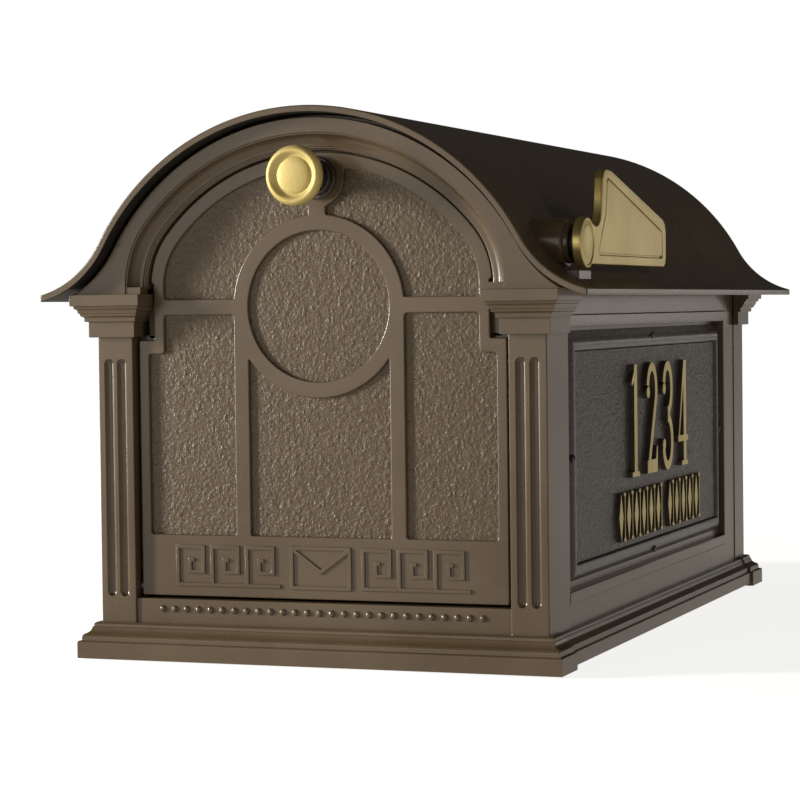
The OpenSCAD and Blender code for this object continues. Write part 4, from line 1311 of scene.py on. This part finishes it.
# %% Ornament row of the plaque
def lozenge_block():
    """A pointed lozenge and the slim bar beside it, drawn from the origin."""
    h, w = 30.0, 9.4
    lozenge = [(0, 0), (w / 2, h / 2), (0, h), (-w / 2, h / 2)]
    shapes = [[lozenge], [bar(8.1, 1.0, 9.7, h - 1.0)], [bar(6.5, 0, 11.3, 2.2)],
              [bar(6.5, h - 2.2, 11.3, h)]]
    blocks = [as_object("lozenge", plate(shape, -1.4, 2.4 - 0.05 * k, 0.3, on_side))
              for k, shape in enumerate(shapes)]
    return combined(blocks[0], blocks[1:])


# %% Plaque body
PEBBLE_STEP = 1.15


def plaque_tray():
    """Nested rounded rectangles: from the back, up the bevel, over the rounded rim and down to the ground."""
    low, high = plaque_low.x, plaque_high.x
    steps = [(0, low), (0, low + 0.7), (0.35, low + 1.1), (3.6, high - 2.0), (4.4, high - 1.3),
             (5.3, high - 0.7), (6.4, high - 0.28), (7.6, high - 0.05), (8.8, high), (10.0, high - 0.1),
             (10.8, high - 0.35), (11.4, high - 0.8), (11.7, ground_x), (rim_w, ground_x - 1.2)]
    rings = []
    for inwards, x in steps:
        y0, y1 = plaque_low.y + inwards, plaque_high.y - inwards
        z0, z1 = plaque_low.z + inwards, plaque_high.z - inwards
        outline = rounded([(y0, z0), (y1, z0), (y1, z1), (y0, z1)], max(0.4, 3.0 - inwards), 4)
        rings.append([(x, y, z) for y, z in outline])
    return loft(rings)


def pebbles(y, z):
    """Small round grains crowded together, each a little higher than its gaps."""
    near = noise.voronoi(Vector((y, z, 0)) / 2.4)[0][0]
    return 0.42 * max(0.0, 1 - 1.5 * near) + 0.12 * noise.noise(Vector((y, z, 3)) / 1.6)


def plaque_ground():
    reach = rim_w - 1.0
    outline = bar(plaque_low.y + reach, plaque_low.z + reach, plaque_high.y - reach, plaque_high.z - reach)
    return ground_sheet([outline], PEBBLE_STEP, pebbles, ground_x - 0.2, ground_x - 1.3, on_side)


# %% The plaques, their figures and ornament
def gold_faces(made):
    """Keeps gold on the faces that look outwards; the side walls stay as dark as the ground."""
    for face in made.data.polygons:
        face.material_index = 0 if abs(face.normal.x) > 0.8 else 1


figure_run = (1, 2, 3, 4)
figure_pitch = 40.0
figure_z = 97.0
lozenge_pitch = 17.8
lozenge_rows = ((6, -93.0), (5, 26.0))
for side, name in ((1, "right"), (-1, "left")):
    place = Matrix.Identity(4) if side > 0 else turn_left
    tray = as_object("tray", plaque_tray(), place)
    ground = as_object("ground", plaque_ground(), place)
    piece(f"{name}_plaque_tray", [tray, (ground, 1)], "housing",
          [glossy_dark_paint, pebbled_paint], [f"{name}_plaque"])
    figures = [figure_object(f, (k - 1.5) * figure_pitch - figure_w / 2, figure_z)
               for k, f in enumerate(figure_run)]
    lozenges = [repeated(lozenge_block(), count, (0, lozenge_pitch, 0), (ground_x, start, 59.0), gold_paint)
                for count, start in lozenge_rows]
    for obj in figures + lozenges:
        flip = Matrix.Diagonal((side, side, 1, 1))
        obj.data.transform(Matrix.Translation(Vector((0, figures_y * MM, 0))) @ flip)
    gold_faces(piece(f"{name}_figures", figures, "housing", [gold_paint, glossy_dark_paint]))
    gold_faces(piece(f"{name}_ornament", lozenges, "housing", [gold_paint, glossy_dark_paint]))

# %% [markdown]
# ## The flag
# The flag is a gold plate that turns on a disc. Its outline has eased edges, and a line is engraved a few
# millimetres inside it. The line is a real groove: a border, a slightly lower floor, and an inner plate.

# %% Flag
reach = flag_high.y - flag_y
bottom = -12.0
tall = bottom + 54.7
short = bottom + 29.0


def flag_outline():
    """The flag's outline about its pivot: disc, hollow corner, tall edge, slope and end."""
    rim = arc(0, 0, disc_r, 53, 302, 44)
    lower = [(9.0, bottom), (20, bottom)]
    end = [(reach - 5.5, bottom), (reach - 1.6, bottom + 1.8), (reach, bottom + 6.5), (reach, short - 7),
           (reach - 2.5, short - 2.2), (reach - 7, short + 0.4)]
    top = [(49.5, tall - 0.4), (44, tall - 0.05), (38, tall), (34.2, tall - 1.8), (32, tall - 6)]
    neck = [(30.2, tall - 17), (29.0, tall - 24), (26.2, tall - 29.5), (21.5, tall - 32.5),
            (16.5, tall - 33.2)]
    return rim + lower + end + top + neck


def inner_line(inwards):
    """The engraved line's path, the same distance inside the slope, end and foot all round."""
    foot = [(21.5 - inwards * 0.3, bottom + 6 - inwards), (reach - 9 + inwards, bottom + 6 - inwards)]
    slope = [(reach - 9 + inwards, short - 7.5 + inwards * 0.6), (41.5 - inwards, tall - 5.0 + inwards * 1.2)]
    edge_side = [(40.2 - inwards, tall - 12), (37.5 - inwards, tall - 26), (29.0 - inwards * 0.6, tall - 37)]
    return rounded(foot + slope + edge_side, 2.5, 4)


def on_flag(a, b, depth):
    return (depth, flag_y + a, flag_z + b)


groove = 0.45
dish_r = disc_r - 1.9
face_x = flag_high.x
dish_hole = arc(0, 0, dish_r, 0, 360, 48)[:-1]
back_plate = as_object("back", plate([flag_outline()], face_x - 1.0, flag_low.x, 0.8, on_flag))
border_outlines = [flag_outline(), inner_line(groove), dish_hole]
border = as_object("border", plate(border_outlines, face_x - 1.4, face_x, 0.7, on_flag))
centre = as_object("centre", plate([inner_line(-groove)], face_x - 1.4, face_x - 0.05, 0.35, on_flag))
dish_profile = [(0, face_x - 0.55), (4, face_x - 0.5), (7.2, face_x - 0.35), (8.8, face_x - 0.12),
                (9.5, face_x - 0.08), (9.9, face_x - 0.3), (dish_r + 0.6, face_x - 0.55),
                (dish_r + 0.6, face_x - 1.3), (0, face_x - 1.3)]
dish = as_object("dish", turned(dish_profile, 64, on_flag))
print("flag reaches", round(reach, 1), "mm and stands", round(tall - bottom, 1), "mm tall")
piece("flag_casting", [back_plate, border, centre, dish], "flag", [flag_paint], ["flag"])

# %% [markdown]
# ## Screws
# The castings are held with pan-head screws, and small domed ones hold the plaques. One screw is drawn with
# its recess and Geometry Nodes set a copy on each point. The points come from the frame's own screws, so
# every head sits in its seat, and each is spun by a different, seeded amount, as a hand driver leaves them.

# %% A tree that sets screws on points
nodes, given = open_tree("screws_on_points", {"Screw": "Object", "Seed": "Int", "Finish": "Material"})
facing = nodes.add("GeometryNodeInputNamedAttribute", {"data_type": "FLOAT_VECTOR"}, {"Name": "facing"})
upright = nodes.add("FunctionNodeAlignRotationToVector", {"axis": "Z"}, {"Vector": facing})
full_turn = 6.2832                           # radians
spin = nodes.add("FunctionNodeRandomValue", {"data_type": "FLOAT"},
                 {2: 0.0, 3: full_turn, "Seed": given["Seed"]}, output=1)
angles = nodes.add("ShaderNodeCombineXYZ", None, {"Z": spin})
turn = nodes.add("FunctionNodeEulerToRotation", None, {"Euler": angles})
turned_up = nodes.add("FunctionNodeRotateRotation", {"rotation_space": "LOCAL"}, {"Rotation": upright,
                                                                                 "Rotate By": turn})
drawn = nodes.add("GeometryNodeObjectInfo", None, {"Object": given["Screw"]}, output=4)
copies = nodes.add("GeometryNodeInstanceOnPoints", None,
                   {"Points": given["Geometry"], "Instance": drawn, "Rotation": turned_up})
screw_tree = close_tree(nodes, copies, given["Finish"])


# %% Where the frame has its screws
def separate_solids(node):
    """The corner points of each separate solid of a frame node."""
    bm = bmesh.new()
    bm.from_mesh(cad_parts[node].data)
    bmesh.ops.remove_doubles(bm, verts=bm.verts, dist=1e-6)
    left = set(bm.verts)
    found = []
    for vert in bm.verts:
        if vert not in left:
            continue
        left.remove(vert)
        queue, group = [vert], []
        while queue:
            here = queue.pop()
            group.append(here.co.copy())
            for other in (e.other_vert(here) for e in here.link_edges):
                if other in left:
                    left.remove(other)
                    queue.append(other)
        found.append(group)
    bm.free()
    return found


def screw_seat(points, axis_at):
    """Top of a screw's head, the way the head faces and the screw's length, in metres."""
    middle = sum(points, Vector()) / len(points)
    axis = axis_at(middle)
    along = [(p - middle).dot(axis) for p in points]
    radial = [(p - middle - axis * a).length for p, a in zip(points, along)]
    widest = along[radial.index(max(radial))]
    facing = axis if widest > (max(along) + min(along)) / 2 else -axis
    top = max((p - middle).dot(facing) for p in points)
    return middle + facing * top, facing, max(along) - min(along)


def screw_shape(head_r, head_h, shank_r, length):
    """A pan-head screw whose head's top is at the origin, with a cross recess."""
    profile = [(0, 0), (head_r * 0.45, -0.02), (head_r * 0.72, -0.18 * head_h),
               (head_r * 0.9, -0.45 * head_h), (head_r * 0.98, -0.8 * head_h), (head_r, -head_h),
               (shank_r, -head_h), (shank_r, 0.8 - length), (shank_r * 0.5, -length), (0, -length)]
    made = as_object("screw", turned(profile, 24, lambda a, b, d: (a, b, d)))
    slot = head_r * 0.12
    arms = [as_object("arm", block((-a, -b, -0.55 * head_h), (a, b, 1), 0.05))
            for a, b in ((head_r * 0.62, slot), (slot, head_r * 0.62))]
    return combined(made, arms, "DIFFERENCE")


# %% Screws
def along_x(middle):
    return Vector((1, 0, 0))


def from_crown(middle):
    return Vector((middle.x, 0, middle.z - crown_z * MM)).normalized()


large_head = (3.8, 2.4, 1.95)                # head radius, head height, shank radius
small_head = (2.4, 1.3, 1.15)
screw_rows = {"rear_cover_screws": (lambda middle: Vector((0, 1, 0)), large_head),
              "front_panel_screws": (along_x, large_head), "rear_panel_screws": (along_x, large_head),
              "floor_screws": (along_x, large_head), "roof_screws": (from_crown, large_head),
              "mounting_screws": (lambda middle: Vector((0, 0, 1)), large_head),
              "plaque_screws": (along_x, small_head)}
for seed, (node, (axis_at, head)) in enumerate(screw_rows.items()):
    seats = [screw_seat(points, axis_at) for points in separate_solids(node)]
    mesh = bpy.data.meshes.new(node)
    mesh.from_pydata([place for place, _, _ in seats], [], [])
    facings = mesh.attributes.new("facing", "FLOAT_VECTOR", "POINT")
    facings.data.foreach_set("vector", [c for _, facing, _ in seats for c in facing])
    points = bpy.data.objects.new(node, mesh)
    bpy.context.scene.collection.objects.link(points)
    shape = screw_shape(*head, seats[0][2] / MM)
    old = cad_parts[node].data.materials[0]
    run_tree(points, screw_tree, {"Screw": shape, "Seed": seed, "Finish": old})
    bpy.data.objects.remove(shape)
    piece(f"{node}_set", [points], "housing", [old], [node])

# %% [markdown]
# ## Studio
# The real object stood on a white table in a bright sweep. The lights here are soft and stand low: a strong
# one at the left draws a bright line along every edge that turns left and rakes the hammered panels, a wide
# one in front fills them, and two stand behind. A small, weak one at the right is higher than the rest. None
# hangs overhead, so the roof stays dark. White paper lights from below.

# %% Floor
bm = bmesh.new()
bmesh.ops.create_circle(bm, cap_ends=True, segments=96, radius=14.0)
floor_mesh = bpy.data.meshes.new("floor")
bm.to_mesh(floor_mesh)
bm.free()
floor = bpy.data.objects.new("floor", floor_mesh)
floor.location.z = -0.0006
bpy.context.scene.collection.objects.link(floor)


def paper(nodes, where):
    away = nodes.add("ShaderNodeVectorMath", {"operation": "LENGTH"}, {0: where}, output=1)
    seen = nodes.add("ShaderNodeLightPath")
    # The floor glows, a painted light: camera rays see its glow dimmer near the object, where the lamps add
    # to it, and white further out; other rays see a dim warm glow that lights the object from below.
    near = nodes.mix(nodes.smooth(away, 0.35, 1.3), colour(0.84, 0.84, 0.83), colour(1.0, 1.0, 1.0))
    inputs = {"Base Color": colour(0.45, 0.45, 0.44), "Roughness": 0.95, "Specular IOR Level": 0.1,
              "Emission Color": nodes.mix(seen, colour(0.42, 0.39, 0.35), near), "Emission Strength": 1.0}
    return inputs, []


floor_mesh.materials.append(finish("white_paper", paper))


# %% Lights
def soft_light(name, place, size, power, tint=(1.0, 1.0, 1.0)):
    """A rectangular lamp that faces the middle of the object."""
    lamp = bpy.data.lights.new(name, "AREA")
    lamp.shape = "RECTANGLE"
    lamp.size, lamp.size_y = size
    lamp.energy = power
    lamp.color = tint
    made = bpy.data.objects.new(name, lamp)
    made.location = place
    made.rotation_euler = (Vector((0, 0, 0.16)) - Vector(place)).to_track_quat("-Z", "Y").to_euler()
    bpy.context.scene.collection.objects.link(made)
    return made


WARM = (1.0, 0.95, 0.88)
soft_light("left_window", (-2.45, -1.15, 0.6), (0.3, 0.8), 125, WARM)
soft_light("front_wide", (-0.9, -2.9, 0.55), (2.0, 1.4), 13, WARM)
soft_light("right_high", (1.7, -0.8, 1.0), (0.3, 0.5), 3.5, WARM)
soft_light("right_rear", (1.35, 2.4, 0.33), (1.5, 0.3), 1.5, WARM)
soft_light("left_rear", (-1.9, 2.0, 0.4), (1.0, 0.7), 12, WARM)
world = bpy.data.worlds.new("studio")
world.use_nodes = True
bpy.context.scene.world = world
world.node_tree.nodes.clear()
sky = Nodes(world.node_tree)
seen = sky.add("ShaderNodeLightPath")
dim = sky.add("ShaderNodeBackground", None, {"Color": colour(1, 0.88, 0.75), "Strength": 0.035})
white = sky.add("ShaderNodeBackground", None, {"Color": colour(1, 1, 1), "Strength": 1.0})
both = sky.add("ShaderNodeMixShader", None, {0: seen, 1: dim, 2: white})
sky.add("ShaderNodeOutputWorld", None, {"Surface": both})

# %% Camera
camera_place = Vector((0.5594, -1.61755, 0.2048))
yaw, pitch, roll = (math.radians(a) for a in (20.28, 2.07, -0.69))
forward = Vector((-math.sin(yaw) * math.cos(pitch), math.cos(yaw) * math.cos(pitch), -math.sin(pitch)))
level_right = Vector((math.cos(yaw), math.sin(yaw), 0))
level_up = level_right.cross(forward)
right_axis = math.cos(roll) * level_right + math.sin(roll) * level_up
up_axis = -math.sin(roll) * level_right + math.cos(roll) * level_up
lens = bpy.data.cameras.new("camera")
lens.lens = 117.06
lens.sensor_width = 36.0
camera = bpy.data.objects.new("camera", lens)
facing_matrix = Matrix((right_axis, up_axis, -forward)).transposed().to_4x4()
camera.matrix_world = Matrix.Translation(camera_place) @ facing_matrix
bpy.context.scene.collection.objects.link(camera)
bpy.context.scene.camera = camera
bpy.context.scene.view_settings.view_transform = "Standard"
print("camera at", [round(c, 3) for c in camera.matrix_world.translation])
